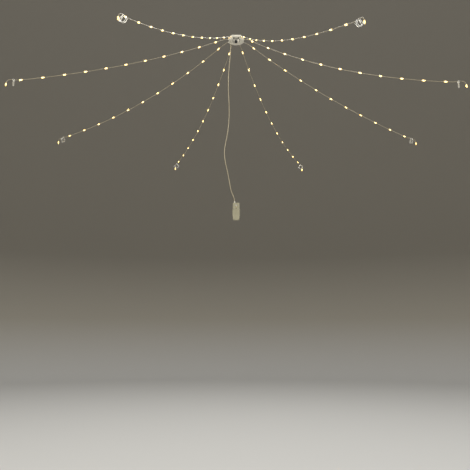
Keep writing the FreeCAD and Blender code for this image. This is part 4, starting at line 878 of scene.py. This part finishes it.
def studio_bowl(name, level, material):
    """Round floor whose edge curves up into a backdrop on every side."""
    shape = bmesh.new()
    middle = shape.verts.new((0.0, 0.0, level))
    corner = shape.verts.new((BOWL_RADIUS, 0.0, level))
    rim = shape.verts.new((BOWL_RADIUS, 0.0, level + BOWL_HEIGHT))
    profile = [middle, corner, rim, shape.edges.new((middle, corner)), shape.edges.new((corner, rim))]
    bmesh.ops.spin(shape, geom=profile, cent=(0.0, 0.0, 0.0), axis=(0.0, 0.0, 1.0), dvec=(0.0, 0.0, 0.0),
                   angle=math.radians(360.0), steps=BOWL_STEPS, use_merge=True)
    bmesh.ops.remove_doubles(shape, verts=shape.verts, dist=0.0001)
    fold = [edge for edge in shape.edges if len(edge.link_faces) == 2
            and all(vert.co.z < level + BOWL_CURVE and vert.co.xy.length > BOWL_CURVE for vert in edge.verts)]
    bmesh.ops.bevel(shape, geom=fold, offset=BOWL_CURVE, offset_type="OFFSET", affect="EDGES",
                    segments=BOWL_CURVE_STEPS, profile=0.5, material=-1)
    mesh = bpy.data.meshes.new(name)
    shape.to_mesh(mesh)
    shape.free()
    for polygon in mesh.polygons:
        polygon.use_smooth = True
    mesh.materials.append(material)
    bowl = bpy.data.objects.new(name, mesh)
    bpy.context.scene.collection.objects.link(bowl)


class STRINGLIGHTS_OT_stage(bpy.types.Operator):
    """Make the floor, the backdrop, the soft lamps and the camera"""
    bl_idname = "stringlights.stage"
    bl_label = "Stage"

    def execute(self, context):
        settings = context.scene.string_light_stage
        finish = floor_finish("studio_floor", settings.floor_colour, settings.backdrop_colour,
                              settings.floor_level)
        studio_bowl("studio_bowl", settings.floor_level, finish)
        for name, place, aim, side, share, colour in LAMPS:
            area_lamp(name, place, aim, side, settings.lamp_power * share, colour)
        world = bpy.data.worlds.new("studio_world")
        world.use_nodes = True
        background = world.node_tree.nodes["Background"]
        background.inputs["Color"].default_value = (1.0, 1.0, 1.0, 1.0)
        background.inputs["Strength"].default_value = settings.world_level
        context.scene.world = world
        context.scene.view_settings.view_transform = "Standard"
        add_camera(context.scene)
        return {"FINISHED"}


def add_camera(scene):
    """The photograph's viewpoint, below the strands and looking slightly up."""
    data = bpy.data.cameras.new("photo_camera")
    data.sensor_width = CAMERA_SENSOR
    data.lens = CAMERA_LENS
    data.clip_end = CAMERA_REACH
    camera = bpy.data.objects.new("photo_camera", data)
    camera.location = CAMERA_PLACE
    camera.rotation_euler = (math.radians(CAMERA_TILT), 0.0, 0.0)
    scene.collection.objects.link(camera)
    scene.camera = camera


class STRINGLIGHTS_PT_panel(bpy.types.Panel):
    """Sizes, colours and steps of the string lights"""
    bl_label = "String lights"
    bl_idname = "STRINGLIGHTS_PT_panel"
    bl_space_type = "VIEW_3D"
    bl_region_type = "UI"
    bl_category = "String Lights"

    def draw(self, context):
        column = self.layout.column()
        scene = context.scene
        for group in (scene.string_light_strands, scene.string_light_housing, scene.string_light_stage):
            for key in group.__annotations__:
                column.prop(group, key)
        for operator in OPERATORS:
            column.operator(operator.bl_idname)


OPERATORS = (
    STRINGLIGHTS_OT_stage,
    STRINGLIGHTS_OT_strands,
    STRINGLIGHTS_OT_lead,
    STRINGLIGHTS_OT_beads,
    STRINGLIGHTS_OT_hub,
    STRINGLIGHTS_OT_rings,
    STRINGLIGHTS_OT_case,
)
CLASSES = (StrandSettings, HousingSettings, StageSettings, *OPERATORS, STRINGLIGHTS_PT_panel)


def register():
    """Make the settings, operators and panel known to Blender."""
    for cls in CLASSES:
        bpy.utils.register_class(cls)
    bpy.types.Scene.string_light_strands = bpy.props.PointerProperty(type=StrandSettings)
    bpy.types.Scene.string_light_housing = bpy.props.PointerProperty(type=HousingSettings)
    bpy.types.Scene.string_light_stage = bpy.props.PointerProperty(type=StageSettings)


def unregister():
    """Take them out again."""
    del bpy.types.Scene.string_light_stage
    del bpy.types.Scene.string_light_housing
    del bpy.types.Scene.string_light_strands
    for cls in reversed(CLASSES):
        bpy.utils.unregister_class(cls)


def main():
    """Build the whole scene."""
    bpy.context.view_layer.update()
    register()
    bpy.ops.stringlights.stage()
    bpy.ops.stringlights.strands()
    bpy.ops.stringlights.lead()
    bpy.ops.stringlights.beads()
    bpy.ops.stringlights.hub()
    bpy.ops.stringlights.rings()
    bpy.ops.stringlights.case()


if __name__ == "__main__":
    main()
